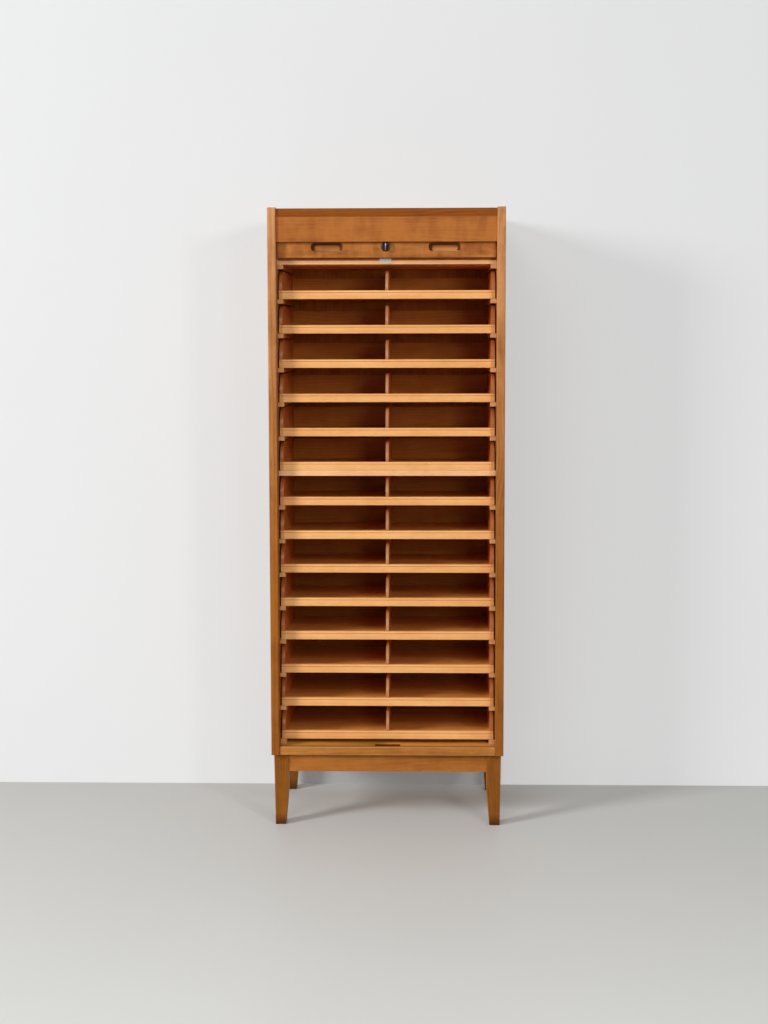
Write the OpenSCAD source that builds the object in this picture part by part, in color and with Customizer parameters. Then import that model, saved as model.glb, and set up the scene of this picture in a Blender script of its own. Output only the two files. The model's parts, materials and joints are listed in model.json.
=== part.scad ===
// Roll-front archive cabinet: a tall case on a four-legged base, with fourteen
// two-compartment trays behind a slatted curtain that rolls up into the top.
//
// Frame: X to the right, Y to the back, Z up, origin on the floor under the middle
// of the case. A depth is measured backwards from the front edges of the side panels.

/* [Case] */
// Overall width across the side panels
case_w = 560; // [500:1:640]
// Overall depth of the side panels
case_d = 400; // [395:1:480]
// Thickness of each side panel
panel_t = 20; // [18:0.5:25]
// Radius on the front edges of the side panels
panel_ease = 2.5; // [1:0.5:4]
// How far the side panels stand above the top board
panel_rise = 2; // [0.5:0.5:6]
// Thickness of the top board
top_t = 20; // [16:0.5:24]
// Depth of the fascia's face, and of the top board's front edge
fascia_set = 6; // [4:0.5:8]
// Thickness of the fascia
fascia_t = 12; // [8:0.5:12]
// Height of the fascia below the top board
fascia_h = 58; // [57:0.5:75]
// Thickness of the bottom board
bottom_t = 19.5; // [17:0.5:24]
// Thickness of the fixed shelf between the two stacks of trays
shelf_t = 13; // [10:0.5:18]
// Thickness of the ceiling board over the top tray
ceiling_t = 9; // [7:0.5:14]
// Thickness of the back panel
back_t = 6; // [5:0.5:8]
// How far the back panel lies inside the rear edges of the side panels
back_set = 2; // [1:0.5:3]
// Width of the rebate in each side panel that takes the back panel
back_rebate = 10; // [9:0.5:11]
// Thickness of the inner back between the trays and the stored curtain
inner_back_t = 4; // [3:0.5:5]
// Free depth between the inner back and the rear track grooves
curtain_room = 7; // [5:0.5:8]

/* [Front rail of the bottom] */
// Depth of the front rail's face
sill_set = 4; // [2:0.5:6]
// Thickness of the front rail
sill_t = 12; // [9:0.5:12]
// How far the front rail stands above the bottom board
sill_rise = 0.5; // [0:0.1:1]
// Width of the shadow groove between the front rail and the bottom board
sill_groove_w = 3; // [2:0.5:3]
// Depth of that shadow groove
sill_groove_d = 8; // [4:0.5:10]
// Offset of the bolt slot from the middle
strike_x = 0.5; // [-4:0.5:4]
// Length of the slot that takes the lock's bolt
strike_l = 61; // [50:1:80]
// Depth of the bolt slot, front to back
strike_w = 18; // [17:0.5:20]
// How deep the bolt slot goes into the bottom board
strike_deep = 12; // [10:0.5:14]

/* [Base] */
// Height of the base frame
base_h = 176; // [140:0.5:220]
// Side of each leg's square top
leg_top = 35; // [31:0.5:42]
// Side of each leg's square foot
leg_foot = 25; // [20:0.5:28]
// How far the legs' two outer faces lean in from top to foot
leg_lean = 2.5; // [0:0.5:3]
// Height above the floor at which the legs start to taper
leg_taper_z = 85; // [60:1:110]
// How far the legs stand in from the case's sides
leg_side_set = 5; // [4:0.5:9]
// How far the front legs stand behind the front edges
leg_front_set = 17.5; // [10:0.5:26]
// How far the rear legs stand in from the rear edges
leg_back_set = 22; // [10:0.5:30]
// Height of the aprons
apron_h = 44.5; // [40:0.5:60]
// Thickness of the aprons
apron_t = 18; // [14:0.5:20]
// How far the aprons lie behind the legs' faces
apron_set = 4; // [2:0.5:6]
// Height of the corner blocks
block_h = 25; // [20:0.5:32]
// Length of a corner block along each apron, from the leg
block_l = 40; // [34:1:55]

/* [Trays] */
// Trays above the fixed shelf
upper_trays = 6; // [4:1:7]
// Trays below the fixed shelf
lower_trays = 8; // [5:1:9]
// Height of the tray sides
tray_side_h = 67; // [58:0.5:80]
// Free height over each tray
tray_head = 4.1; // [3:0.1:6]
// Depth of the trays' front face
tray_set = 38; // [38:0.5:42]
// Free depth between the trays and the inner back
tray_back_gap = 4; // [2:0.5:20]
// Gap between a tray and each side panel
tray_side_gap = 3; // [2:0.5:4]
// Thickness of the tray sides
tray_side_t = 8; // [7:0.5:10]
// Thickness of the divider
divider_t = 7; // [5:0.5:9]
// Thickness of the tray back
tray_back_t = 8; // [6:0.5:10]
// Height of the tray back above the tray's underside
tray_back_h = 60; // [50:0.5:67]
// Thickness of the tray bottom
tray_bottom_t = 4; // [3:0.5:5]
// Height of the tray bottom's underside above the tray's underside
tray_bottom_z = 4; // [3:0.5:6]
// How far the tray bottom is let into the sides and the lip
tray_let_in = 4; // [3:0.5:5]
// Height of the front lip
lip_h = 20; // [16:0.5:28]
// Thickness of the front lip
lip_t = 12; // [9:0.5:16]
// Distance of the scored line below the lip's top
score_drop = 5; // [3:0.5:7]
// Width and depth of the scored line
score_w = 1; // [0.6:0.1:1.4]
// Chamfer on the lip's front edges
lip_ease = 0.8; // [0.4:0.1:1.5]
// Running gap under a tray
run_gap = 0.3; // [0.2:0.1:0.6]

/* [Battens] */
// Height of the battens that carry the trays
batten_h = 10.5; // [8:0.5:14]
// Width of the battens
batten_w = 14; // [12:0.5:18]
// Height of the lowest pair, which stands on the bottom board
foot_batten_h = 12.4; // [10:0.1:16]

/* [Curtain] */
// Depth of the curtain's track centre at the front
track_set = 28; // [28:0.5:28.5]
// Distance of the rear track centre from the rear edges
track_rear_set = 20; // [19:0.5:20]
// Width of the track grooves
track_w = 10; // [10:0.2:11]
// How deep the track grooves go into the side panels
track_deep = 8; // [6:0.5:10]
// Radius of the track centre round the two top bends
bend_r = 40; // [40:0.5:40.5]
// Wood left between the top of the track and the top board
bend_cover = 1; // [0.5:0.1:1.4]
// Thickness of the slats
slat_t = 7; // [6:0.5:7]
// Width of one slat
slat_w = 20; // [14:0.5:20]
// Gap between slats
slat_gap = 0.5; // [0.4:0.1:1]
// Chamfer on the slats' outer edges
slat_ease = 1.5; // [0.5:0.1:2]
// Gap between the slats' ends and the bottom of the track grooves
slat_end_gap = 0.5; // [0.3:0.1:0.9]
// Thickness of the canvas behind the slats
canvas_t = 0.8; // [0.5:0.1:1]
// Distance of the canvas from each side panel
canvas_side_gap = 8; // [4:1:20]

/* [Handle rail] */
// Height of the handle rail
rail_h = 47; // [45:0.5:47]
// Thickness of the handle rail
rail_t = 16; // [15.5:0.1:16.5]
// Gap between the ceiling board's top and the raised handle rail
rail_lift = 5.8; // [4:0.1:7]
// How much of the raised handle rail stays behind the fascia
rail_tuck = 10.6; // [8:0.1:11]
// Gap between the handle rail and each side panel
rail_side_gap = 2; // [1:0.5:4]
// Width of a finger pull
pull_w = 75; // [60:1:100]
// Height of a finger pull
pull_h = 22; // [19:0.5:23]
// Corner radius of a finger pull
pull_r = 9; // [6:0.5:10]
// Depth of a finger pull
pull_deep = 9; // [7:0.5:10]
// Distance of a finger pull's centre from the lock's
pull_x = 139; // [100:0.5:180]
// Height of the finger pulls' centres above the middle of the rail
pull_rise = 1.2; // [0:0.1:1.5]

/* [Lock] */
// Offset of the lock from the middle
lock_x = -2; // [-6:0.5:6]
// Height of the lock's centre above the middle of the rail
lock_rise = 1.9; // [0:0.1:2]
// Radius of the cylinder's rosette
rosette_r = 11.5; // [10.5:0.1:12]
// Thickness of the rosette
rosette_t = 1.6; // [1:0.1:1.8]
// Outer radius of the cylinder
cylinder_r = 9; // [8.5:0.1:9.5]
// Radius of the turning plug
plug_r = 6.5; // [6:0.1:7]
// Radial running clearance of the plug
plug_clear = 0.06; // [0.03:0.01:0.09]
// How far the plug stands in front of the rosette
plug_proud = 0.4; // [0.2:0.1:1]
// Gap between the plug's end and the bolt
plug_gap = 0.7; // [0.4:0.1:1]
// Width of the lock case
lock_case_w = 38; // [34:0.5:44]
// Height of the lock case
lock_case_h = 36; // [35:0.5:38]
// Depth of the mortise for the lock case
lock_case_d = 11; // [10.8:0.1:11.2]
// Wall of the lock case
lock_wall = 1.2; // [1:0.1:1.3]
// Width of the bolt
bolt_w = 24; // [18:0.5:28]
// Thickness of the bolt
bolt_t = 4; // [3:0.1:4.2]
// Length of the bolt
bolt_l = 25; // [22:0.5:25]
// Travel of the bolt
bolt_throw = 8; // [5:0.5:8]
// Length of the key's bow in front of the plug
bow_l = 16; // [12:0.5:16]
// Height of the key's bow
bow_h = 20; // [17:0.5:21]
// Radius of the hole in the bow
bow_hole_r = 4; // [2:0.5:5]
// How far the hole lies in front of the bow's centre
bow_hole_set = 1; // [0:0.5:2]
// Thickness of the key
key_t = 2.4; // [1.8:0.1:3]
// Height of the key's blade
blade_h = 7; // [5:0.5:8]

/* [Plate and screws] */
// Width of the bare plate on the ceiling board
plate_w = 27.5; // [24:0.5:40]
// Offset of the plate from the middle
plate_x = -2.8; // [-8:0.1:4]
// Height of the plate
plate_h = 13.5; // [10:0.1:14]
// Height of the plate's lower edge above the ceiling board's underside
plate_lift = 1.3; // [0:0.1:3]
// Thickness of the plate
plate_t = 1; // [0.6:0.1:1.2]
// Radius of the screw shanks
screw_r = 1.6; // [1.4:0.1:1.8]
// Radius of the screw heads
screw_head_r = 3.4; // [3:0.1:3.8]
// Length of the back panel's screws
back_screw_l = 11; // [9:0.5:11.5]
// How far the base screws reach into the bottom board
base_screw_bite = 10; // [6:0.5:12]
// Radial clearance round a screw
screw_clear = 0.05; // [0.03:0.01:0.1]
// Screws along each side of the back panel
back_screw_count = 5; // [3:1:8]
// Distance of the outermost side screws from the panel's ends
back_screw_margin = 60; // [30:5:100]

/* [Hidden] */
$fn = 64;
eps = 0.5;                  // how far a cutter runs past the face it opens
fit_gap = 0.1;              // gap round a piece that is let into a mortise
joint_gap = 0.05;           // glue line between two pieces of a tray
slide_gap = 0.4;            // gap round the bolt
plug_bottom_t = 1;          // wall left behind the key's slot in the plug
tray_count = upper_trays + lower_trays;

// Widths
half_w = case_w / 2;
inner_half = half_w - panel_t;
track_bottom_x = inner_half + track_deep;
tray_half = inner_half - tray_side_gap;
tray_inner_half = tray_half - tray_side_t;

// Depths, from the front edges
front_y = -case_d / 2;
fascia_back = fascia_set + fascia_t;
sill_back = sill_set + sill_t;
back_face = case_d - back_set;
back_front = back_face - back_t;
rear_track = case_d - track_rear_set;
inner_back_front = rear_track - track_w / 2 - curtain_room - inner_back_t;
tray_rear = inner_back_front - tray_back_gap;
tray_l = tray_rear - tray_set;
rail_front = track_set - rail_t / 2;
rail_back = track_set + rail_t / 2;

// Heights above a tray's underside
tray_floor_z = tray_bottom_z + tray_bottom_t;

// Heights, from the floor
sill_z = base_h + bottom_t;
tray_pitch = tray_side_h + tray_head + batten_h;
lowest_level = sill_z + foot_batten_h;
shelf_bottom_z = lowest_level + lower_trays * tray_pitch - batten_h;
shelf_top_z = shelf_bottom_z + shelf_t;
ceiling_z = shelf_top_z + upper_trays * tray_pitch;
ceiling_top_z = ceiling_z + ceiling_t;
rail_z = ceiling_top_z + rail_lift;
rail_top_z = rail_z + rail_h;
fascia_z = rail_top_z - rail_tuck;
top_z = fascia_z + fascia_h;
case_top_z = top_z + top_t + panel_rise;
pull_z = rail_z + rail_h / 2 + pull_rise;
lock_z = rail_z + rail_h / 2 + lock_rise;
rail_travel = rail_z - sill_z - run_gap;

// Curtain path: s runs up the canvas from the top of the handle rail
bend_z = top_z - bend_r - track_w / 2 - bend_cover;
slat_pitch = slat_w + slat_gap;
canvas_r = bend_r - slat_t / 2;
bend_len = canvas_r * PI / 2;
top_run = rear_track - track_set - 2 * bend_r;
s_bend = bend_z - rail_top_z;
s_top = s_bend + bend_len;
s_rear = s_top + top_run;
s_down = s_rear + bend_len;
slat_count = ceil((rail_travel + rail_tuck) / slat_pitch);
curtain_tail_z = bend_z - (slat_count * slat_pitch - s_down);

// Legs: left and right by X, front and rear by depth
leg_outer = half_w - leg_side_set;
leg_inner = leg_outer - leg_top;
leg_rear_face = case_d - leg_back_set;
leg_front_inner = leg_front_set + leg_top;
leg_rear_inner = leg_rear_face - leg_top;

function two_digits(i) = i < 10 ? str("0", i) : str(i);
function tray_name(i, piece) = str("tray_", two_digits(i), "_", piece);
// Level of the face that tray i runs on, with tray 1 at the top
function tray_level(i) = i <= upper_trays
    ? shelf_top_z + (upper_trays - i) * tray_pitch
    : lowest_level + (tray_count - i) * tray_pitch;

CASE_NODES = ["side_panel_left", "side_panel_right", "top_board", "fascia_board", "ceiling_board",
    "fixed_shelf", "bottom_board", "bottom_front_rail", "inner_back", "back_panel", "runner_battens",
    "curtain_lead_slat", "curtain_slats", "curtain_canvas", "label_plate", "back_screws"];
BASE_NODES = ["leg_front_left", "leg_front_right", "leg_rear_left", "leg_rear_right", "apron_front",
    "apron_rear", "apron_left", "apron_right", "corner_blocks", "base_screws"];
DOOR_NODES = ["handle_rail", "lock_case", "lock_cylinder", "lock_plug", "lock_key", "lock_bolt"];
TRAY_NODES = [for (i = [1:tray_count]) for (piece = ["box", "lip"]) tray_name(i, piece)];

// ---------------------------------------------------------------- helpers

// A block between two corners, given as [x, depth, z]
module block(low, high) {
    translate([low[0], front_y + low[1], low[2]])
        cube([high[0] - low[0], high[1] - low[1], high[2] - low[2]]);
}

// Runs an outline drawn as [depth, z] across the cabinet from x0 to x1
module across(x0, x1) {
    translate([x0, front_y, 0])
        rotate([90, 0, 90])
            linear_extrude(x1 - x0)
                children();
}

// A cylinder along Y from depth d0 to depth d1
module bar(x, z, r, d0, d1) {
    translate([x, front_y + d1, z])
        rotate([90, 0, 0])
            cylinder(r = r, h = d1 - d0);
}

// Outline [depth, z] of an arch with round shoulders
module arch(d0, d1, z0, z1, r) {
    translate([d0, z0])
        square([d1 - d0, z1 - r - z0]);
    translate([d0 + r, z0])
        square([d1 - d0 - 2 * r, z1 - z0]);
    for (d = [d0 + r, d1 - r])
        translate([d, z1 - r])
            circle(r);
}

// Arch that lies at the given distance inside the curtain's centre line
module path_arch(inset, z0) {
    arch(track_set + inset, rear_track - inset, z0, bend_z + bend_r - inset, bend_r - inset);
}

// ---------------------------------------------------------------- case

// The groove that guides the curtain: up the front, round the top and down the rear
module track_outline() {
    difference() {
        path_arch(-track_w / 2, base_h - eps);
        path_arch(track_w / 2, base_h - 2 * eps);
        translate([0, base_h - 2 * eps])
            square([track_set + track_w, sill_z - base_h + 2 * eps]);
    }
}

// Plan of a side panel with eased front edges, from x = 0 to the panel's thickness
module panel_plan() {
    translate([0, panel_ease])
        square([panel_t, case_d - panel_ease]);
    translate([panel_ease, 0])
        square([panel_t - 2 * panel_ease, case_d]);
    for (x = [panel_ease, panel_t - panel_ease])
        translate([x, panel_ease])
            circle(panel_ease);
}

// The right side panel
module side_panel() {
    difference() {
        translate([inner_half, front_y, base_h])
            linear_extrude(case_top_z - base_h)
                panel_plan();
        across(inner_half - eps, track_bottom_x)
            track_outline();
        block([inner_half - eps, back_front, base_h - eps],
              [inner_half + back_rebate, case_d + eps, case_top_z + eps]);
        for (z = back_screw_rows())
            bar(back_screw_x, z, screw_r + screw_clear, back_face - back_screw_l - eps, back_front + eps);
    }
}

module side_panel_left() color([0.72, 0.50, 0.29]) mirror([1, 0, 0]) side_panel();
module side_panel_right() color([0.72, 0.50, 0.29]) side_panel();

module top_board() color([0.58, 0.33, 0.14])
    difference() {
        block([-inner_half, fascia_set, top_z], [inner_half, back_front, top_z + top_t]);
        for (x = back_screw_columns())
            bar(x, top_z + top_t / 2, screw_r + screw_clear, back_face - back_screw_l - eps, back_front + eps);
    }

module fascia_board() color([0.70, 0.43, 0.22])
    block([-inner_half, fascia_set, fascia_z], [inner_half, fascia_back, top_z]);

module ceiling_board() color([0.86, 0.66, 0.46])
    block([-inner_half, tray_set, ceiling_z], [inner_half, inner_back_front, ceiling_top_z]);

module fixed_shelf() color([0.90, 0.69, 0.47])
    block([-inner_half, tray_set, shelf_bottom_z], [inner_half, inner_back_front, shelf_top_z]);

// The bottom board runs under the shadow groove to meet the front rail
module bottom_board() color([0.70, 0.46, 0.24])
    difference() {
        block([-inner_half, sill_back, base_h], [inner_half, back_front, sill_z]);
        block([-inner_half - eps, sill_back - eps, sill_z - sill_groove_d],
              [inner_half + eps, sill_back + sill_groove_w, sill_z + eps]);
        block([strike_x - strike_l / 2, sill_back, sill_z - strike_deep],
              [strike_x + strike_l / 2, sill_back + sill_groove_w + strike_w, sill_z + eps]);
        for (x = back_screw_columns())
            bar(x, base_h + bottom_t / 2, screw_r + screw_clear, back_face - back_screw_l - eps, back_front + eps);
        at_base_corners()
            base_screw_hole(base_h - eps, base_h + base_screw_bite + eps);
    }

module bottom_front_rail() color([0.70, 0.46, 0.24])
    block([-inner_half, sill_set, base_h], [inner_half, sill_back, sill_z + sill_rise]);

module inner_back() color([0.45, 0.22, 0.09])
    block([-inner_half, inner_back_front, sill_z], [inner_half, inner_back_front + inner_back_t, ceiling_top_z]);

module back_panel() color([0.66, 0.44, 0.25])
    difference() {
        block([-inner_half - back_rebate, back_front, base_h], [inner_half + back_rebate, back_face, top_z + top_t]);
        back_screw_places() {
            bar(0, 0, screw_r + screw_clear, back_front - eps, back_face + eps);
            screw_head(screw_clear, back_face);
        }
    }

// Battens on both sides: one pair under each tray but the one on the shelf,
// and one pair under the ceiling board
module runner_battens() color([0.80, 0.58, 0.40])
    for (side = [-1, 1]) {
        batten(side, sill_z, foot_batten_h);
        for (i = [upper_trays + 1:tray_count - 1])
            batten(side, tray_level(i) - batten_h, batten_h);
        for (i = [1:upper_trays - 1])
            batten(side, tray_level(i) - batten_h, batten_h);
        batten(side, ceiling_z - batten_h, batten_h);
    }

module batten(side, z, h) {
    x0 = side > 0 ? inner_half - batten_w : -inner_half;
    block([x0, tray_set, z], [x0 + batten_w, inner_back_front, z + h]);
}

module label_plate() color([0.72, 0.71, 0.64])
    block([plate_x - plate_w / 2, tray_set - plate_t, ceiling_z + plate_lift],
          [plate_x + plate_w / 2, tray_set, ceiling_z + plate_lift + plate_h]);

// ---------------------------------------------------------------- screws

back_screw_x = inner_half + back_rebate / 2;

// Heights of the screws along each side, and places of those along top and bottom
function back_screw_rows() = [for (i = [0:back_screw_count - 1])
    base_h + back_screw_margin + i * (top_z - base_h - 2 * back_screw_margin) / (back_screw_count - 1)];
function back_screw_columns() = [-inner_half / 2, inner_half / 2];

module back_screw_places() {
    for (z = back_screw_rows())
        for (x = [-back_screw_x, back_screw_x])
            translate([x, 0, z])
                children();
    for (z = [base_h + bottom_t / 2, top_z + top_t / 2])
        for (x = back_screw_columns())
            translate([x, 0, z])
                children();
}

// A countersunk head along Y whose flat lies at the given depth
module screw_head(clear, depth) {
    translate([0, front_y + depth, 0])
        rotate([90, 0, 0])
            cylinder(r1 = screw_head_r + clear, r2 = screw_r + clear, h = screw_head_r - screw_r);
}

module back_screws() color([0.62, 0.58, 0.50])
    back_screw_places()
        union() {
            bar(0, 0, screw_r, back_face - back_screw_l, back_face);
            screw_head(0, back_face);
        }

// ---------------------------------------------------------------- curtain

// How far the curtain has turned at s: 0 up the front, 90 on the top run, 180 down the rear
function path_turn(s) = s < s_bend ? 0
    : s < s_top ? (s - s_bend) / bend_len * 90
    : s < s_rear ? 90
    : s < s_down ? 90 + (s - s_rear) / bend_len * 90
    : 180;

// The centre line's [depth, z] at s
function path_point(s) = s < s_bend ? [track_set, rail_top_z + s]
    : s < s_top ? [track_set + bend_r * (1 - cos(path_turn(s))), bend_z + bend_r * sin(path_turn(s))]
    : s < s_rear ? [track_set + bend_r + s - s_top, bend_z + bend_r]
    : s < s_down ? [rear_track - bend_r * (1 + cos(path_turn(s))), bend_z + bend_r * sin(path_turn(s))]
    : [rear_track, bend_z - (s - s_down)];

module slat_outline() {
    polygon([
        [slat_t / 2, -slat_w / 2],
        [slat_t / 2, slat_w / 2],
        [-slat_t / 2 + slat_ease, slat_w / 2],
        [-slat_t / 2, slat_w / 2 - slat_ease],
        [-slat_t / 2, -slat_w / 2 + slat_ease],
        [-slat_t / 2 + slat_ease, -slat_w / 2]
    ]);
}

// Slat k of the curtain, counted from the handle rail
module slat(k) {
    s = (k - 0.5) * slat_pitch;
    across(-track_bottom_x + slat_end_gap, track_bottom_x - slat_end_gap)
        translate(path_point(s))
            rotate(-path_turn(s))
                slat_outline();
}

module curtain_lead_slat() color([0.66, 0.42, 0.21]) slat(1);

module curtain_slats() color([0.66, 0.42, 0.21])
    for (k = [2:slat_count])
        slat(k);

// The canvas that joins the slats, on the inside of the bends
module curtain_canvas() color([0.55, 0.50, 0.42])
    across(-inner_half + canvas_side_gap, inner_half - canvas_side_gap)
        difference() {
            path_arch(slat_t / 2 + fit_gap / 2, curtain_tail_z);
            path_arch(slat_t / 2 + fit_gap / 2 + canvas_t, curtain_tail_z - eps);
            translate([0, curtain_tail_z - eps])
                square([track_set + bend_r, rail_top_z + run_gap - curtain_tail_z + eps]);
        }

// ---------------------------------------------------------------- base

// One leg at the right front, tapered on its two inner faces, with its outer faces leaning in
module leg() {
    foot_in = leg_top - leg_foot - leg_lean;
    intersection() {
        across(leg_inner, leg_outer)
            polygon([
                [leg_front_set + leg_lean, 0],
                [leg_front_set, base_h],
                [leg_front_inner, base_h],
                [leg_front_inner, leg_taper_z],
                [leg_front_inner - foot_in, 0]
            ]);
        translate([0, front_y + leg_front_inner, 0])
            rotate([90, 0, 0])
                linear_extrude(leg_top)
                    polygon([
                        [leg_outer - leg_lean, 0],
                        [leg_outer, base_h],
                        [leg_inner, base_h],
                        [leg_inner, leg_taper_z],
                        [leg_inner + foot_in, 0]
                    ]);
    }
}

// Turns a piece of the front corner into its twin at the rear
module to_rear() {
    translate([0, 2 * front_y + leg_front_set + leg_rear_face, 0])
        mirror([0, 1, 0])
            children();
}

module leg_front_left() color([0.57, 0.33, 0.15]) mirror([1, 0, 0]) leg();
module leg_front_right() color([0.57, 0.33, 0.15]) leg();
module leg_rear_left() color([0.57, 0.33, 0.15]) to_rear() mirror([1, 0, 0]) leg();
module leg_rear_right() color([0.57, 0.33, 0.15]) to_rear() leg();

module long_apron() {
    block([-leg_inner, leg_front_set + apron_set, base_h - apron_h],
          [leg_inner, leg_front_set + apron_set + apron_t, base_h]);
}

module end_apron() {
    block([leg_outer - apron_set - apron_t, leg_front_inner, base_h - apron_h],
          [leg_outer - apron_set, leg_rear_inner, base_h]);
}

module apron_front() color([0.62, 0.38, 0.18]) long_apron();
module apron_rear() color([0.62, 0.38, 0.18]) to_rear() long_apron();
module apron_left() color([0.62, 0.38, 0.18]) mirror([1, 0, 0]) end_apron();
module apron_right() color([0.62, 0.38, 0.18]) end_apron();

// Repeats a piece of the right front corner at all four corners
module at_base_corners() {
    for (side = [0, 1])
        mirror([side, 0, 0]) {
            children();
            to_rear()
                children();
        }
}

block_front = leg_front_set + apron_set + apron_t;
block_side = leg_outer - apron_set - apron_t;
base_screw_x = leg_inner - block_l / 4;
base_screw_depth = leg_front_inner + block_l / 4;

module base_screw_hole(z0, z1) {
    translate([base_screw_x, front_y + base_screw_depth, z0])
        cylinder(r = screw_r + screw_clear, h = z1 - z0);
}

// A block glued behind the leg in the corner of two aprons
module corner_block() {
    difference() {
        translate([0, front_y, base_h - block_h])
            linear_extrude(block_h)
                polygon([
                    [leg_inner - block_l, block_front],
                    [leg_inner, block_front],
                    [leg_inner, leg_front_inner],
                    [block_side, leg_front_inner],
                    [block_side, leg_front_inner + block_l]
                ]);
        base_screw_hole(base_h - block_h - eps, base_h + eps);
        base_screw_head(screw_clear);
    }
}

module base_screw_head(clear) {
    translate([base_screw_x, front_y + base_screw_depth, base_h - block_h])
        cylinder(r1 = screw_head_r + clear, r2 = screw_r + clear, h = screw_head_r - screw_r);
}

module corner_blocks() color([0.70, 0.52, 0.32]) at_base_corners() corner_block();

module base_screws() color([0.62, 0.58, 0.50])
    at_base_corners()
        union() {
            translate([base_screw_x, front_y + base_screw_depth, base_h - block_h])
                cylinder(r = screw_r, h = block_h + base_screw_bite);
            base_screw_head(0);
        }

// ---------------------------------------------------------------- handle rail and lock

lock_case_front = rail_back - lock_case_d;
lock_case_bottom = lock_z - lock_case_h / 2;
bolt_front = rail_back - 2 * fit_gap - lock_wall - slide_gap - bolt_t;
plug_end = bolt_front - plug_gap;
plug_front = rail_front - rosette_t - plug_proud;
key_tip = plug_end - plug_bottom_t - screw_clear;
bow_mid = plug_front - bow_l / 2;

// Outline [x, z] of a finger pull about its centre
module pull_outline() {
    square([pull_w - 2 * pull_r, pull_h], center = true);
    square([pull_w, pull_h - 2 * pull_r], center = true);
    for (x = [-1, 1])
        for (z = [-1, 1])
            translate([x * (pull_w / 2 - pull_r), z * (pull_h / 2 - pull_r)])
                circle(pull_r);
}

module handle_rail() color([0.65, 0.38, 0.19])
    difference() {
        union() {
            block([-inner_half + rail_side_gap, rail_front, rail_z],
                  [inner_half - rail_side_gap, rail_back, rail_top_z]);
            block([-track_bottom_x + slat_end_gap, track_set - slat_t / 2, rail_z],
                  [track_bottom_x - slat_end_gap, track_set + slat_t / 2, rail_top_z]);
        }
        for (side = [-1, 1])
            translate([lock_x + side * pull_x, front_y + rail_front + pull_deep, pull_z])
                rotate([90, 0, 0])
                    linear_extrude(pull_deep + eps)
                        pull_outline();
        bar(lock_x, lock_z, cylinder_r + screw_clear, rail_front - eps, rail_back);
        block([lock_x - lock_case_w / 2, lock_case_front, lock_case_bottom],
              [lock_x + lock_case_w / 2, rail_back + eps, lock_case_bottom + lock_case_h]);
        block([lock_x - bolt_w / 2 - slide_gap, bolt_front - slide_gap, rail_z - eps],
              [lock_x + bolt_w / 2 + slide_gap, rail_back + eps, lock_case_bottom + eps]);
    }

// The case is a box, open below for the bolt and in front for the cylinder
module lock_case() color([0.60, 0.58, 0.54])
    difference() {
        block([lock_x - lock_case_w / 2 + fit_gap, lock_case_front + fit_gap, lock_case_bottom + fit_gap],
              [lock_x + lock_case_w / 2 - fit_gap, rail_back - fit_gap, lock_case_bottom + lock_case_h - fit_gap]);
        block([lock_x - bolt_w / 2 - slide_gap, lock_case_front + fit_gap + lock_wall, lock_case_bottom - eps],
              [lock_x + bolt_w / 2 + slide_gap, rail_back - fit_gap - lock_wall,
               lock_case_bottom + lock_case_h - fit_gap - lock_wall]);
        bar(lock_x, lock_z, cylinder_r + screw_clear, lock_case_front, lock_case_front + 2 * lock_wall + fit_gap);
    }

module lock_cylinder() color([0.55, 0.52, 0.48])
    difference() {
        union() {
            bar(lock_x, lock_z, rosette_r, rail_front - rosette_t, rail_front);
            bar(lock_x, lock_z, cylinder_r, rail_front - rosette_t, lock_case_front + fit_gap + lock_wall);
        }
        bar(lock_x, lock_z, plug_r + plug_clear, rail_front - rosette_t - eps, rail_back);
    }

// The plug turns in the cylinder and is slotted for the key's blade
module lock_plug() color([0.72, 0.66, 0.50])
    difference() {
        bar(lock_x, lock_z, plug_r, plug_front, plug_end);
        block([lock_x - key_t / 2 - screw_clear, plug_front - eps, lock_z - blade_h / 2 - screw_clear],
              [lock_x + key_t / 2 + screw_clear, plug_end - plug_bottom_t, lock_z + blade_h / 2 + screw_clear]);
    }

// A flat key, upright in the plug, with an oval bow
module lock_key() color([0.35, 0.33, 0.31])
    across(lock_x - key_t / 2, lock_x + key_t / 2)
        difference() {
            union() {
                translate([bow_mid, lock_z])
                    square([bow_l, bow_h - bow_l], center = true);
                for (z = [-1, 1])
                    translate([bow_mid, lock_z + z * (bow_h - bow_l) / 2])
                        circle(bow_l / 2);
                translate([bow_mid, lock_z - blade_h / 2])
                    square([key_tip - bow_mid, blade_h]);
            }
            translate([bow_mid - bow_hole_set, lock_z])
                circle(bow_hole_r);
        }

module lock_bolt() color([0.62, 0.60, 0.56])
    block([lock_x - bolt_w / 2, bolt_front, rail_z + fit_gap],
          [lock_x + bolt_w / 2, bolt_front + bolt_t, rail_z + fit_gap + bolt_l]);

// ---------------------------------------------------------------- trays

// Side of a tray: upright up to the lip's top, then a quarter round back to the top edge
module tray_side_outline() {
    r = tray_side_h - lip_h;
    translate([tray_set + r, 0])
        square([tray_l - r, tray_side_h]);
    translate([tray_set, 0])
        square([r, lip_h]);
    intersection() {
        translate([tray_set + r, lip_h])
            circle(r, $fn = 96);
        translate([tray_set, lip_h])
            square([r, r]);
    }
}

// The scored line across the front of the lip and the tray sides
module score_outline() {
    translate([tray_set - eps, lip_h - score_drop - score_w / 2])
        square([score_w + eps, score_w]);
}

// The tray bottom, grown by a gap on every side when it cuts its own housing
module tray_bottom(gap = 0) {
    half = tray_inner_half + tray_let_in + gap;
    block([-half, tray_set + lip_t - tray_let_in - gap, tray_bottom_z - gap],
          [half, tray_rear + gap, tray_bottom_z + tray_bottom_t + gap]);
}

module tray_side(x) {
    difference() {
        across(x, x + tray_side_t)
            difference() {
                tray_side_outline();
                score_outline();
            }
        tray_bottom(joint_gap);
    }
}

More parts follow.
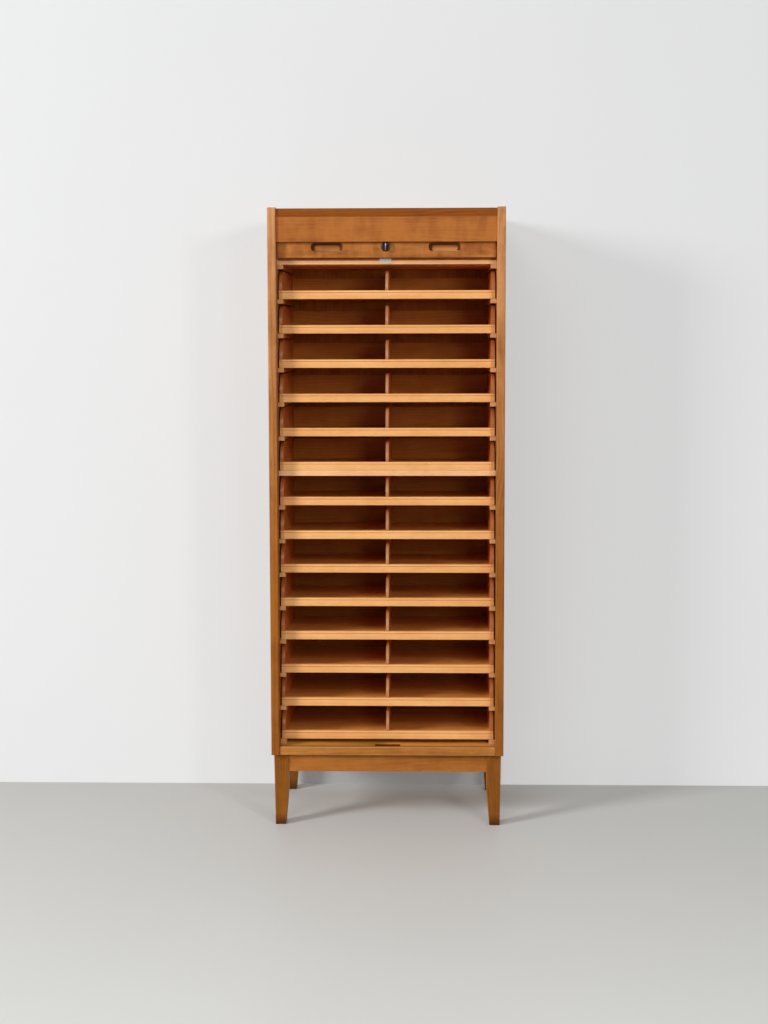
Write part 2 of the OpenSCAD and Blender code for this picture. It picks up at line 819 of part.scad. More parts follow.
// The divider has the sides' outline, notched over the lip and the bottom
module tray_divider() {
    across(-divider_t / 2, divider_t / 2)
        difference() {
            tray_side_outline();
            translate([0, -eps])
                square([tray_rear + eps, tray_floor_z + joint_gap + eps]);
            translate([0, -eps])
                square([tray_set + lip_t + joint_gap, lip_h + joint_gap + eps]);
            translate([tray_rear - tray_back_t - joint_gap, 0])
                square([tray_back_t + eps, tray_side_h + eps]);
        }
}

module tray_back() {
    half = tray_inner_half - joint_gap;
    block([-half, tray_rear - tray_back_t, tray_floor_z + joint_gap], [half, tray_rear, tray_back_h]);
}

// A tray without its lip
module tray_box() color([0.80, 0.58, 0.36]) {
    tray_bottom();
    tray_side(-tray_half);
    tray_side(tray_inner_half);
    tray_divider();
    tray_back();
}

module tray_lip() color([0.94, 0.70, 0.43])
    difference() {
        across(-tray_inner_half + joint_gap, tray_inner_half - joint_gap)
            difference() {
                polygon([
                    [tray_set, lip_ease],
                    [tray_set, lip_h - lip_ease],
                    [tray_set + lip_ease, lip_h],
                    [tray_set + lip_t, lip_h],
                    [tray_set + lip_t, 0],
                    [tray_set + lip_ease, 0]
                ]);
                score_outline();
            }
        tray_bottom(joint_gap);
    }

// Lifts a piece of a tray to the place of tray i
module at_tray(i) {
    translate([0, 0, tray_level(i) + run_gap])
        children();
}

// ---------------------------------------------------------------- output

side_panel_left();
side_panel_right();
top_board();
fascia_board();
ceiling_board();
fixed_shelf();
bottom_board();
bottom_front_rail();
inner_back();
back_panel();
runner_battens();
curtain_lead_slat();
curtain_slats();
curtain_canvas();
label_plate();
back_screws();
leg_front_left();
leg_front_right();
leg_rear_left();
leg_rear_right();
apron_front();
apron_rear();
apron_left();
apron_right();
corner_blocks();
base_screws();
handle_rail();
lock_case();
lock_cylinder();
lock_plug();
lock_key();
lock_bolt();
for (i = [1:tray_count]) {
    at_tray(i) tray_box();
    at_tray(i) tray_lip();
}
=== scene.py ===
import json
import logging
import math
from contextlib import contextmanager
from dataclasses import dataclass, replace
from enum import Enum
from typing import Callable, Iterable, Iterator, Optional, Sequence

import bmesh
import bpy
from mathutils import Matrix, Vector

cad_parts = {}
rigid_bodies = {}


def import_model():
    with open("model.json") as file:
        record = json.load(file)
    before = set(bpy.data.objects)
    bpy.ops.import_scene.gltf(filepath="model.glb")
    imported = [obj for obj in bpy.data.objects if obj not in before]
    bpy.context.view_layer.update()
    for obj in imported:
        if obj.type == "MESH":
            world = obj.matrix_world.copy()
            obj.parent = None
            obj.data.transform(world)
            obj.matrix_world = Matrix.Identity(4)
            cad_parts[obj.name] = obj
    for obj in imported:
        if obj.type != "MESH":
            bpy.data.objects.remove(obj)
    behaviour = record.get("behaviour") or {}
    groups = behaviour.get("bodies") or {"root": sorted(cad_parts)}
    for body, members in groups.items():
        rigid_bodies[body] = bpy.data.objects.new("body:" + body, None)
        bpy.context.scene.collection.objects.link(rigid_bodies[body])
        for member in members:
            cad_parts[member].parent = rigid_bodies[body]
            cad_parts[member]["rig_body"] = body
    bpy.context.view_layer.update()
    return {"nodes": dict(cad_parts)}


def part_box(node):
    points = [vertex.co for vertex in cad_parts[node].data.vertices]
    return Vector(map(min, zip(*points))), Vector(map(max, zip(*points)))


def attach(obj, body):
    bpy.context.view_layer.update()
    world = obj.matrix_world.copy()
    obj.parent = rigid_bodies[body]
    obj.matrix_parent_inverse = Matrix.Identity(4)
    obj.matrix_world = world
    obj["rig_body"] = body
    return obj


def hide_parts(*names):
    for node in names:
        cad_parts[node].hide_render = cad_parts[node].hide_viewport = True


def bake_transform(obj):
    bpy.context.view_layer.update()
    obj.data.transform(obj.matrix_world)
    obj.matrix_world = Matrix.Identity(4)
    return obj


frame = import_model()

LOG = logging.getLogger("cabinet")
FRONT = -0.2                 # Y of the front edges of the side panels; depths count back from here
SHARP = math.radians(40)     # the smallest angle of an edge that counts as sharp
FLAT = math.radians(0.5)     # the largest angle at which two faces count as one
CORNER = 0.5                 # the smallest angle of an edge that hands have rubbed, in radians
TOUCH = 1e-5                 # the distance within which a point lies on a plane
MERGE = 1e-6                 # the distance within which two points are one
COAT_IOR = 1.3               # the varnish bends light less than glass, so it mirrors less
COAT_ROUGHNESS = 0.22
BULGE = 0.3                  # how far a rounding's middle point lies from the corner, as a share of its width
RUB_AND_SHEEN_GAIN, RUB_AND_SHEEN_LIFT = 1.05, 6.0            # how much paler a softened edge's colour is than the wood's, as wear and as a painted highlight
RUB_ROUGHNESS, RUB_VARNISH = 0.06, 0.6    # how it is duller

Point2 = tuple[float, float]
Point3 = tuple[float, float, float]
Colour = tuple[float, float, float]
Socket = bpy.types.NodeSocket
WHITE: Colour = (255, 255, 255)


class Axis(Enum):
    """The direction along which an outline is drawn out, or along which grain runs."""

    X = "X"
    Y = "Y"
    Z = "Z"


# ---------------------------------------------------------------- node trees

class Graph:
    """A shader or geometry node tree that is being put together."""

    def __init__(self, tree: bpy.types.NodeTree) -> None:
        """Starts on a tree."""
        self.tree = tree

    def feed(self, node: bpy.types.Node, inputs: dict) -> bpy.types.Node:
        """Fills a node's inputs.

        Args:
            node: The node to fill.
            inputs: Constants or sockets, by the input's name or number.

        Returns:
            The node.
        """
        for name, value in inputs.items():
            if isinstance(value, Socket):
                self.tree.links.new(value, node.inputs[name])
            else:
                node.inputs[name].default_value = value
        return node

    def add(self, kind: str, inputs: Optional[dict] = None, **settings: object) -> bpy.types.Node:
        """Adds one node.

        Args:
            kind: Blender's name for the type of node.
            inputs: Constants or sockets for the node's inputs, by name or by number.
            settings: The node's own properties.

        Returns:
            The new node.
        """
        node = self.tree.nodes.new(kind)
        for name, value in settings.items():
            setattr(node, name, value)
        return self.feed(node, inputs or {})

    def put(self, kind: str, inputs: Optional[dict] = None, **settings: object) -> Socket:
        """Adds one node, as add does, and gives its first output."""
        return self.add(kind, inputs, **settings).outputs[0]

    def split(self, vector: Socket) -> Sequence[Socket]:
        """Splits a vector into its X, Y and Z."""
        return self.add("ShaderNodeSeparateXYZ", {0: vector}).outputs

    def vector(self, **parts: object) -> Socket:
        """Puts a vector together from the parts that are given, out of X, Y and Z."""
        return self.put("ShaderNodeCombineXYZ", parts)

    def place(self, kind: str = "Object") -> Socket:
        """Gives the texture coordinate of one kind."""
        return self.add("ShaderNodeTexCoord").outputs[kind]

    def joined(self, *parts: Socket) -> Socket:
        """Joins geometries, the last one first."""
        join = self.add("GeometryNodeJoinGeometry")
        for part in reversed(parts):
            self.tree.links.new(part, join.inputs[0])
        return join.outputs[0]

    def finished(self, shape: Socket, material: Socket, leave: bpy.types.Node, ends: object = None,
                 end_material: Optional[Socket] = None) -> bpy.types.NodeTree:
        """Makes instances real, gives them their materials and ends a geometry tree.

        Args:
            shape: The instances.
            material: The material of every face.
            leave: The node that takes the tree's output.
            ends: The faces that have another material, if any.
            end_material: That material.

        Returns:
            The tree.
        """
        solid = self.put("GeometryNodeRealizeInstances", {"Geometry": shape})
        done = self.put("GeometryNodeSetMaterial", {"Geometry": solid, "Material": material})
        if ends is not None:
            done = self.put("GeometryNodeSetMaterial", {"Geometry": done, "Selection": ends,
                                                        "Material": end_material})
        self.feed(leave, {0: done})
        return self.tree

    def math(self, operation: str, a: object, b: object = 0.0, clamp: bool = False) -> Socket:
        """Works out one number from one or two others.

        Args:
            operation: The sum to do, such as MULTIPLY.
            a: First value or socket.
            b: Second value or socket.
            clamp: Whether the result is kept between 0 and 1.

        Returns:
            The result's socket.
        """
        return self.put("ShaderNodeMath", {0: a, 1: b}, operation=operation, use_clamp=clamp)

    def spread(self, value: object, low: float, high: float, to_low: float = 0.0,
               to_high: float = 1.0) -> Socket:
        """Stretches a range of numbers onto another, without going past its ends.

        Args:
            value: The number or socket to stretch.
            low: Start of the range that comes in.
            high: End of the range that comes in.
            to_low: Start of the range that goes out.
            to_high: End of the range that goes out.

        Returns:
            The result's socket.
        """
        return self.put("ShaderNodeMapRange", {"Value": value, "From Min": low, "From Max": high,
                                               "To Min": to_low, "To Max": to_high})

    def looked_at(self) -> Socket:
        """Tells a look from a bounce of light: the camera's rays, and those mirrored or let through to it.

        Returns:
            The result's socket, 1 for a look.
        """
        path = self.add("ShaderNodeLightPath").outputs
        mirrored = self.math("MAXIMUM", path["Is Glossy Ray"], path["Is Transmission Ray"])
        return self.math("MAXIMUM", path["Is Camera Ray"], mirrored)

    def tint(self, share: object, first: object, second: object, mode: str = "MIX") -> Socket:
        """Mixes two colours.

        Args:
            share: How much of the second colour is taken.
            first: The first colour or socket.
            second: The second colour or socket.
            mode: The way of mixing, such as MULTIPLY.

        Returns:
            The result's socket.
        """
        return self.add("ShaderNodeMix", {0: share, 6: first, 7: second},
                        data_type="RGBA", blend_type=mode).outputs[2]

    def mixed(self, share: Socket, first: Socket, second: Socket, output: str) -> None:
        """Mixes two shaders into the tree's output.

        Args:
            share: How much of the second one is taken.
            first: The first shader.
            second: The second shader.
            output: The name of the output node.
        """
        mix = self.put("ShaderNodeMixShader", {0: share, 1: first, 2: second})
        self.feed(self.tree.nodes[output], {0: mix})

    def noise(self, place: Socket, scale: float, detail: float = 2.0, rough: float = 0.5,
              twist: float = 0.0) -> Socket:
        """Adds soft noise.

        Args:
            place: Where the noise is read.
            scale: Its size, larger for finer noise.
            detail: How many finer layers it has.
            rough: How strong the finer layers are.
            twist: How far the noise is pulled about.

        Returns:
            The noise's number.
        """
        return self.put("ShaderNodeTexNoise", {"Vector": place, "Scale": scale, "Detail": detail,
                                               "Roughness": rough, "Distortion": twist})

    def stretched(self, place: Socket, scale: Point3) -> Socket:
        """Multiplies a place by three factors, along X, Y and Z."""
        return self.put("ShaderNodeVectorMath", {0: place, 1: scale}, operation="MULTIPLY")


def new_group(name: str, kind: str, inputs: Sequence[tuple[str, str, object]],
              outputs: Sequence[tuple[str, str]]) -> tuple[Graph, Callable[[str], Socket], bpy.types.Node]:
    """Starts a node group with named inputs and outputs.

    Args:
        name: The group's name.
        kind: Blender's name for the type of tree.
        inputs: Name, kind of socket, such as Float, and first value of each input.
        outputs: Name and kind of socket of each output.

    Returns:
        The graph, a function from an input's name to its socket, and the node that takes the outputs.
    """
    tree = bpy.data.node_groups.new(name, kind)
    for label, socket, value in inputs:
        made = tree.interface.new_socket(label, in_out="INPUT", socket_type=f"NodeSocket{socket}")
        if value is not None:
            made.default_value = value
    for label, socket in outputs:
        tree.interface.new_socket(label, in_out="OUTPUT", socket_type=f"NodeSocket{socket}")
    entry = tree.nodes.new("NodeGroupInput")
    leave = tree.nodes.new("NodeGroupOutput")
    return Graph(tree), lambda label: entry.outputs[label], leave


# ---------------------------------------------------------------- finishes

def linear(colour: Colour) -> tuple[float, float, float, float]:
    """Turns a colour written in the screen's 0 to 255 steps into Blender's linear colour.

    Args:
        colour: Red, green and blue from 0 to 255.

    Returns:
        The linear colour with an alpha of 1.
    """
    def channel(step: float) -> float:
        """Turns one channel."""
        share = step / 255
        return share / 12.92 if share <= 0.04045 else ((share + 0.055) / 1.055) ** 2.4
    return (channel(colour[0]), channel(colour[1]), channel(colour[2]), 1.0)


def new_material(name: str) -> tuple[bpy.types.Material, Graph, bpy.types.Node]:
    """Starts a material.

    Args:
        name: Its name.

    Returns:
        The material, its graph and its surface node.
    """
    material = bpy.data.materials.new(name)
    material.use_nodes = True
    graph = Graph(material.node_tree)
    return material, graph, graph.tree.nodes["Principled BSDF"]


class SharedGroup:
    """A shader node group that is built once."""

    tree: Optional[bpy.types.NodeTree] = None

    @classmethod
    def get(cls) -> bpy.types.NodeTree:
        """Builds the group the first time, and hands it out.

        Returns:
            The node group.
        """
        if cls.tree is None:
            cls.tree = cls._build()
        return cls.tree

    @staticmethod
    def _build() -> bpy.types.NodeTree:
        """Builds the group, in a way of its own for each one."""
        raise NotImplementedError


class TimberGroup(SharedGroup):
    """The figure of varnished wood, shared by every timber finish."""

    @staticmethod
    def _build() -> bpy.types.NodeTree:
        """Builds the group.

        Returns:
            The node group. The grain runs along X of the place that it is given.
        """
        graph, take, leave = new_group(
            "varnished timber", "ShaderNodeTree",
            [("Place", "Vector", None),
             ("Pale", "Color", (0.8, 0.5, 0.2, 1)),
             ("Deep", "Color", (0.4, 0.2, 0.05, 1)),
             ("Ring width", "Float", 0.006),
             ("Figure", "Float", 0.3),
             ("Fleck", "Float", 0.2),
             ("Smudge", "Float", 0.2),
             ("Mottle", "Float", 0.25),
             ("Curl", "Float", 0.1),
             ("Base roughness", "Float", 0.4)],
            [("Colour", "Color"), ("Roughness", "Float"), ("Height", "Float")])
        calc, place = graph.math, take("Place")

        def clouds(stretch: Point3, *settings: float) -> Socket:
            """Adds noise that is drawn out along the grain."""
            return graph.noise(graph.stretched(place, stretch), *settings)

        broad = clouds((1.6, 11, 11), 1.7, 4, 0.55, 0.3)     # slow changes of tone
        bend = clouds((1.1, 5, 5), 1.3, 2, 0.5)              # how the rings wander
        mottle = clouds((11, 40, 40), 1.0, 3, 0.6, 0.5)      # small clouds
        fibre = clouds((9, 420, 420), 1.0, 3, 0.6)           # fine threads
        curl = clouds((36, 13, 13), 1.0, 2, 0.55, 0.3)       # bars across the grain
        dash = graph.spread(clouds((70, 560, 560), 1.0, 1, 0.5), 0.60, 0.72)          # short dark flecks
        stain = graph.spread(clouds((3.5, 9, 9), 1.6, 4, 0.62, 0.4), 0.50, 0.74)      # where hands have been

        # The rings: how far a point lies from a pith that wanders beside the board.
        axis = graph.split(place)
        wander = calc("MULTIPLY", calc("SUBTRACT", bend, 0.5), 0.13)
        across = calc("ADD", calc("SUBTRACT", axis[1], 0.031), wander)
        upward = calc("ADD", axis[2], calc("MULTIPLY", wander, 0.7))
        squares = [calc("POWER", calc("ABSOLUTE", side), 2.0) for side in (across, upward)]
        radius = calc("SQRT", calc("ADD", *squares))
        phase = calc("MULTIPLY", calc("DIVIDE", radius, take("Ring width")), 2 * math.pi)
        phase = calc("ADD", phase, calc("MULTIPLY", mottle, 5.5))
        late = calc("POWER", graph.spread(calc("SINE", phase), -1.0, 1.0), 1.8)
        late = calc("MULTIPLY", late, graph.spread(clouds((2.6, 15, 15), 1.0, 2, 0.5), 0.38, 0.60, 0.25, 1.0))

        # The tone, from 0 for the pale colour to 1 for the deep one.
        share = graph.spread(broad, 0.34, 0.66, 0.0, 0.5)
        for effect, amount in ((late, "Figure"), (stain, "Smudge"),
                               (graph.spread(mottle, 0.36, 0.64, -0.5, 0.5), "Mottle"),
                               (graph.spread(curl, 0.36, 0.66, -0.4, 0.6), "Curl")):
            share = calc("ADD", share, calc("MULTIPLY", effect, take(amount)))
        share = calc("ADD", share, graph.spread(fibre, 0.3, 0.7, -0.10, 0.10), clamp=True)
        colour = graph.tint(share, take("Pale"), take("Deep"))
        dark = graph.tint(1.0, colour, (0.62, 0.50, 0.42, 1), "MULTIPLY")
        colour = graph.tint(calc("MULTIPLY", dash, take("Fleck")), colour, dark)
        rough = calc("ADD", take("Base roughness"), graph.spread(broad, 0.3, 0.7, -0.05, 0.06))
        rough = calc("ADD", rough, calc("MULTIPLY", stain, 0.07))
        height = calc("ADD", calc("MULTIPLY", fibre, 0.6), calc("MULTIPLY", late, 0.25))
        height = calc("SUBTRACT", height, calc("MULTIPLY", dash, 0.3))
        graph.feed(leave, {"Colour": colour, "Roughness": rough, "Height": height})
        return graph.tree


class WearGroup(SharedGroup):
    """Tarnish and fine rubbing on metal, shared by every metal finish."""

    @staticmethod
    def _build() -> bpy.types.NodeTree:
        """Builds the group.

        Returns:
            The node group.
        """
        graph, take, leave = new_group(
            "worn metal", "ShaderNodeTree",
            [("Place", "Vector", None),
             ("Bright", "Color", (0.7, 0.7, 0.7, 1)),
             ("Tarnish", "Color", (0.2, 0.2, 0.2, 1)),
             ("Amount", "Float", 0.4),
             ("Base roughness", "Float", 0.3)],
            [("Colour", "Color"), ("Roughness", "Float"), ("Height", "Float")])
        cloud = graph.noise(take("Place"), 320, 4, 0.6, 0.4)
        rub = graph.noise(graph.stretched(take("Place"), (2600, 500, 2600)), 1.0, 2, 0.5)
        mask = graph.math("MULTIPLY", graph.spread(cloud, 0.38, 0.62), take("Amount"), clamp=True)
        rough = graph.math("ADD", take("Base roughness"), graph.math("MULTIPLY", mask, 0.25))
        graph.feed(leave, {
            "Colour": graph.tint(mask, take("Bright"), take("Tarnish")),
            "Roughness": graph.math("ADD", rough, graph.spread(rub, 0.3, 0.7, -0.05, 0.08)),
            "Height": graph.math("ADD", graph.math("MULTIPLY", rub, 0.4),
                                 graph.math("MULTIPLY", cloud, 0.4))})
        return graph.tree


@dataclass(frozen=True)
class Finish:
    """What a surface is made of, and the slot that it fills."""

    name: str
    slot: str

    def material(self) -> bpy.types.Material:
        """Builds the material the first time, and hands it out."""
        return bpy.data.materials.get(self.name) or self._build()

    def _build(self) -> bpy.types.Material:
        """Builds the material, in a way of its own for each kind of finish."""
        raise NotImplementedError


@dataclass(frozen=True)
class Timber(Finish):
    """Varnished wood."""

    pale: Colour
    deep: Colour
    grain: Axis = Axis.X
    ring_width: float = 0.006
    figure: float = 0.3
    fleck: float = 0.25
    smudge: float = 0.2
    roughness: float = 0.42            # of the wood; the varnish has its own
    varnish: float = 0.25
    shift: Point3 = (0.0, 0.0, 0.0)    # moves the figure along, so that two boards differ
    mottle: float = 0.25
    curl: float = 0.12
    gloss: float = 0.12
    # Painted light and shade: a tint at the top and one at the bottom, multiplied into the wood's colour by
    # height.
    top_painted_shading: Colour = WHITE
    bottom_painted_shading: Colour = WHITE
    painted_shading_span: tuple[float, float] = (0.55, 1.45)    # the heights between which one painted shading tint gives way to the other

    def worn(self) -> "Timber":
        """Gives the paler, duller finish of this wood's softened edges: worn, and paler also as a painted
        highlight.

        Returns:
            The finish.
        """
        # Painted highlight: the edge is paler than the wood, partly wear and partly standing for the sheen
        # along the edge.
        paler = tuple(min(255.0, RUB_AND_SHEEN_GAIN * step + RUB_AND_SHEEN_LIFT) for step in self.pale)
        return replace(self, name=f"{self.name} rubbed and highlit edge", pale=paler, deep=self.pale,
                       roughness=self.roughness + RUB_ROUGHNESS, varnish=RUB_VARNISH * self.varnish)

    def _build(self) -> bpy.types.Material:
        """Builds the material.

        Returns:
            The material.
        """
        material, graph, surface = new_material(self.name)
        turn = {Axis.X: (0, 0, 0), Axis.Y: (0, 0, -math.pi / 2), Axis.Z: (0, math.pi / 2, 0)}[self.grain]
        where = graph.place()
        place = graph.put("ShaderNodeMapping", {"Vector": where, "Location": self.shift, "Rotation": turn})
        timber = graph.add("ShaderNodeGroup", {
            "Place": place, "Pale": linear(self.pale), "Deep": linear(self.deep),
            "Ring width": self.ring_width, "Figure": self.figure, "Fleck": self.fleck,
            "Smudge": self.smudge, "Mottle": self.mottle, "Curl": self.curl,
            "Base roughness": self.roughness}, node_tree=TimberGroup.get())
        colour = timber.outputs["Colour"]
        # Painted light and shade, by height.
        if (self.top_painted_shading, self.bottom_painted_shading) != (WHITE, WHITE):
            painted_shading_span = graph.tint(graph.spread(graph.split(where)[2], *self.painted_shading_span), linear(self.bottom_painted_shading),
                              linear(self.top_painted_shading))
            colour = graph.tint(1.0, colour, painted_shading_span, "MULTIPLY")
        bump = graph.put("ShaderNodeBump", {"Height": timber.outputs["Height"], "Strength": 0.35,
                                            "Distance": 0.0003})
        graph.feed(surface, {"Base Color": colour, "Roughness": timber.outputs["Roughness"], "Normal": bump,
                             "Specular IOR Level": self.gloss, "Coat Weight": self.varnish,
                             "Coat IOR": COAT_IOR, "Coat Roughness": COAT_ROUGHNESS})
        return material


@dataclass(frozen=True)
class Metal(Finish):
    """Worn metal."""

    bright: Colour
    tarnish: Colour
    amount: float = 0.5
    roughness: float = 0.3
    metallic: float = 1.0

    def _build(self) -> bpy.types.Material:
        """Builds the material.

        Returns:
            The material.
        """
        material, graph, surface = new_material(self.name)
        wear = graph.add("ShaderNodeGroup", {
            "Place": graph.place(), "Bright": linear(self.bright), "Tarnish": linear(self.tarnish),
            "Amount": self.amount, "Base roughness": self.roughness}, node_tree=WearGroup.get())
        bump = graph.put("ShaderNodeBump", {"Height": wear.outputs["Height"], "Strength": 0.2,
                                            "Distance": 0.0001})
        graph.feed(surface, {"Base Color": wear.outputs["Colour"], "Roughness": wear.outputs["Roughness"],
                             "Normal": bump, "Metallic": self.metallic})
        return material


@dataclass(frozen=True)
class Canvas(Finish):
    """Plain woven cotton, unbleached."""

    thread: Colour
    gap: Colour
    pitch: float = 0.0012

    def _build(self) -> bpy.types.Material:
        """Builds the material from the piece's own UV map, whose unit is a metre.

        Returns:
            The material.
        """
        material, graph, surface = new_material(self.name)
        place = graph.place("UV")
        waves = [graph.math("ABSOLUTE", graph.math("SINE", graph.math("MULTIPLY", way, math.pi / self.pitch)))
                 for way in list(graph.split(place))[:2]]
        weave = graph.math("MAXIMUM", *waves)
        slub = graph.noise(graph.stretched(place, (260, 40, 1)), 1.0, 3, 0.6)
        dust = graph.noise(place, 9, 3, 0.6)
        share = graph.math("MULTIPLY", weave, graph.spread(slub, 0.2, 0.8, 0.7, 1.0))
        colour = graph.tint(share, linear(self.gap), linear(self.thread))
        colour = graph.tint(graph.spread(dust, 0.4, 0.7, 0.0, 0.35), colour, linear(self.gap))
        bump = graph.put("ShaderNodeBump", {"Height": weave, "Strength": 0.5, "Distance": 0.0003})
        graph.feed(surface, {"Base Color": colour, "Normal": bump,
                             "Roughness": graph.spread(slub, 0.2, 0.8, 0.8, 0.95)})
        return material


# Each timber has its name, slot, pale colour, deep colour, way of the grain and width of a ring, and then the
# strength of its figure, its flecks and its smudges, its roughness and its varnish.
# Painted sheen and shade: the panels are near their own colour at the top and darker and yellower towards the
# foot.
PANEL = Timber("panel beech", "panel_wood", (211, 152, 100), (156, 97, 46), Axis.Z, 0.007, 0.42, 0.34, 0.4,
               0.4, 0.3, top_painted_shading=(255, 250, 242), bottom_painted_shading=(209, 178, 98))
FASCIA = Timber("fascia birch", "case_wood", (180, 108, 47), (143, 75, 27), Axis.X, 0.008, 0.22, 0.2, 0.25,
                mottle=0.3, curl=0.5)
TOP = Timber("top board birch", "case_wood", (154, 82, 12), (111, 53, 4), Axis.X, 0.006, 0.3, 0.25, 0.25,
             0.42, 0.1, gloss=0.15, shift=(0.4, 0, 0.1))
TOP_FACE = Timber("top board face", "case_wood", (196, 126, 60), (146, 84, 30), Axis.X, 0.008, 0.25, 0.25,
                  0.25)
RAIL = Timber("handle rail birch", "case_wood", (193, 121, 57), (136, 72, 26), Axis.X, 0.009, 0.3, 0.25, 0.5,
              shift=(0.9, 0.02, -1.32), mottle=0.3, curl=0.5)
SILL_TOP = Timber("sill board birch", "case_wood", (186, 130, 59), (164, 107, 42), Axis.X, 0.006, 0.2, 0.2,
                  0.3, 0.36, 0.4, shift=(0.2, 0, 0.1))
SILL = Timber("sill birch", "case_wood", (194, 131, 63), (146, 83, 33), Axis.X, 0.006, 0.2, 0.2, 0.3,
              shift=(0.2, 0, 0))
# Painted shade: the legs darken over their lowest few centimetres, for the shadow where they meet the floor.
LEG = Timber("leg beech", "base_wood", (152, 92, 27), (112, 59, 11), Axis.Z, 0.006, 0.25, 0.35, 0.25,
             bottom_painted_shading=(150, 130, 100), painted_shading_span=(0.0, 0.03))
APRON = Timber("apron beech", "base_wood", (184, 115, 46), (137, 77, 26), Axis.X, 0.007, 0.25, 0.35, 0.3)
LIP = Timber("lip birch", "lip_wood", (250, 187, 119), (224, 148, 82), Axis.X, 0.005, 0.14, 0.15, 0.12, 0.4,
             0.3)
SHELF = Timber("shelf birch", "tray_wood", (250, 193, 141), (220, 150, 96), Axis.X, 0.005, 0.14, 0.15, 0.12,
               0.4, 0.3)
TRAY_SIDE = Timber("tray side beech", "tray_wood", (234, 147, 71), (200, 105, 42), Axis.Y, 0.006, 0.2, 0.3,
                   0.2, 0.36, 0.35)
TRAY_FLOOR = Timber("tray floor plywood", "tray_wood", (240, 176, 92), (214, 138, 60), Axis.X, 0.01, 0.2,
                    0.15, 0.25, 0.48, 0.15)
# Painted shade: the tray backs darken towards the lowest trays, where less light reaches them.
TRAY_BACK = Timber("tray back beech", "tray_wood", (226, 150, 66), (194, 108, 34), Axis.X, 0.007, 0.25, 0.2,
                   0.25, 0.46, 0.2, bottom_painted_shading=(168, 160, 154), painted_shading_span=(0.15, 1.0))
BATTEN = Timber("batten beech", "tray_wood", (212, 150, 98), (170, 106, 60), Axis.Y, 0.005, 0.2, 0.3, 0.2,
                0.5, 0.1)
BATTEN_END = Timber("batten end grain", "tray_wood", (228, 166, 116), (190, 128, 82), Axis.Y, 0.002, 0.3, 0.1,
                    0.2, 0.6, 0.0)
# Painted shade: the inner back darkens towards the bottom, where less light reaches it.
INNER = Timber("inner back plywood", "inner_wood", (208, 134, 58), (166, 94, 28), Axis.Z, 0.01, 0.2, 0.1, 0.3,
               0.5, 0.1, bottom_painted_shading=(160, 152, 146), painted_shading_span=(0.2, 1.1))
BACK = Timber("back plywood", "back_plywood", (206, 156, 100), (166, 112, 62), Axis.Z, 0.012, 0.25, 0.15, 0.3,
              0.5, 0.1)
# Painted shade: the faces inside a lip's score are darker, for the shade in the groove.
SCORE = Timber("score line", "lip_wood", (204, 142, 84), (172, 108, 58), Axis.X, 0.005, 0.1, 0.1, 0.2, 0.6,
               0.0)
# Painted shade: the faces inside the bottom board's groove and bolt slot are dark, for the shade in them.
HOLLOW_SHADE = Timber("painted hollow shade", "case_wood", (102, 45, 7), (68, 26, 2), Axis.X, 0.006, 0.2, 0.1, 0.3, 0.6, 0.0,
                gloss=0.05)
SIDE_FRONT = Timber("tray side front", "tray_wood", (239, 170, 102), (211, 137, 76), Axis.Z, 0.004, 0.14,
                    0.15, 0.2, 0.4, 0.3)
ROUND = Timber("rounded tray edge", "tray_wood", (188, 110, 60), (150, 80, 38), Axis.Y, 0.004, 0.2, 0.2, 0.2,
               0.3, 0.6)
DIVIDER_EDGE = Timber("divider edge", "tray_wood", (192, 134, 90), (158, 100, 64), Axis.Y, 0.004, 0.2, 0.2,
                      0.2, 0.3, 0.6)
# Painted shade: the walls of a finger pull are dark, for the shade inside the recess.
PULL = Timber("finger pull wall shade", "case_wood", (112, 56, 20), (76, 34, 8), Axis.X, 0.006, 0.2, 0.2, 0.5, 0.4,
              0.3)
# Painted shadow: the floor of a finger pull darkens towards its top edge, for the shadow that edge casts.
PULL_FLOOR = Timber("finger pull floor", "case_wood", (202, 135, 74), (145, 86, 38), Axis.X, 0.008, 0.3, 0.2,
                    0.4, 0.38, 0.35, shift=(0.9, 0.02, -1.32), top_painted_shading=(104, 74, 44), painted_shading_span=(1.3885, 1.4015))
SLAT = Timber("slat birch", "curtain_wood", (204, 136, 74), (156, 92, 42), Axis.X, 0.006, 0.2, 0.25, 0.25,
              mottle=0.1, curl=0.05)
BLOCK = Timber("corner block beech", "case_wood", (196, 142, 90), (150, 98, 54), Axis.Z, 0.005, 0.3, 0.3, 0.2,
               0.6, 0.0)
CANVAS = Canvas("glued canvas", "canvas", (176, 160, 132), (116, 100, 76))
PLATE = Metal("bare plate", "plate_metal", (214, 202, 176), (140, 126, 100), 0.55, 0.42, 0.3)
NICKEL = Metal("worn nickel", "lock_metal", (84, 70, 64), (16, 12, 10), 0.8, 0.26)
PLUG = Metal("worn brass", "plug_metal", (66, 50, 34), (20, 14, 10), 0.9, 0.3)
KEY = Metal("dark key steel", "key_metal", (196, 174, 168), (30, 24, 20), 0.9, 0.22)
SCREW = Metal("zinc screw", "screw_metal", (176, 168, 152), (96, 84, 66), 0.5, 0.35)
# The sides of a tray's scored outline that lie in the scored line, which take the score's painted shade.
SCORED: dict[int, Finish] = {3: SCORE, 4: SCORE, 5: SCORE}


# ---------------------------------------------------------------- joinery

def circle_points(centre: Point2, radius: float, start: float, stop: float, steps: int) -> list[Point2]:
    """Places points along part of a circle.

    Args:
        centre: Middle of the circle.
        radius: Its radius.
        start: Angle of the first point, in degrees.
        stop: Angle of the last point, in degrees.
        steps: Number of spaces between points.

    Returns:
        The points.
    """
    angles = [math.radians(start + (stop - start) * i / steps) for i in range(steps + 1)]
    return [(centre[0] + radius * math.cos(a), centre[1] + radius * math.sin(a)) for a in angles]


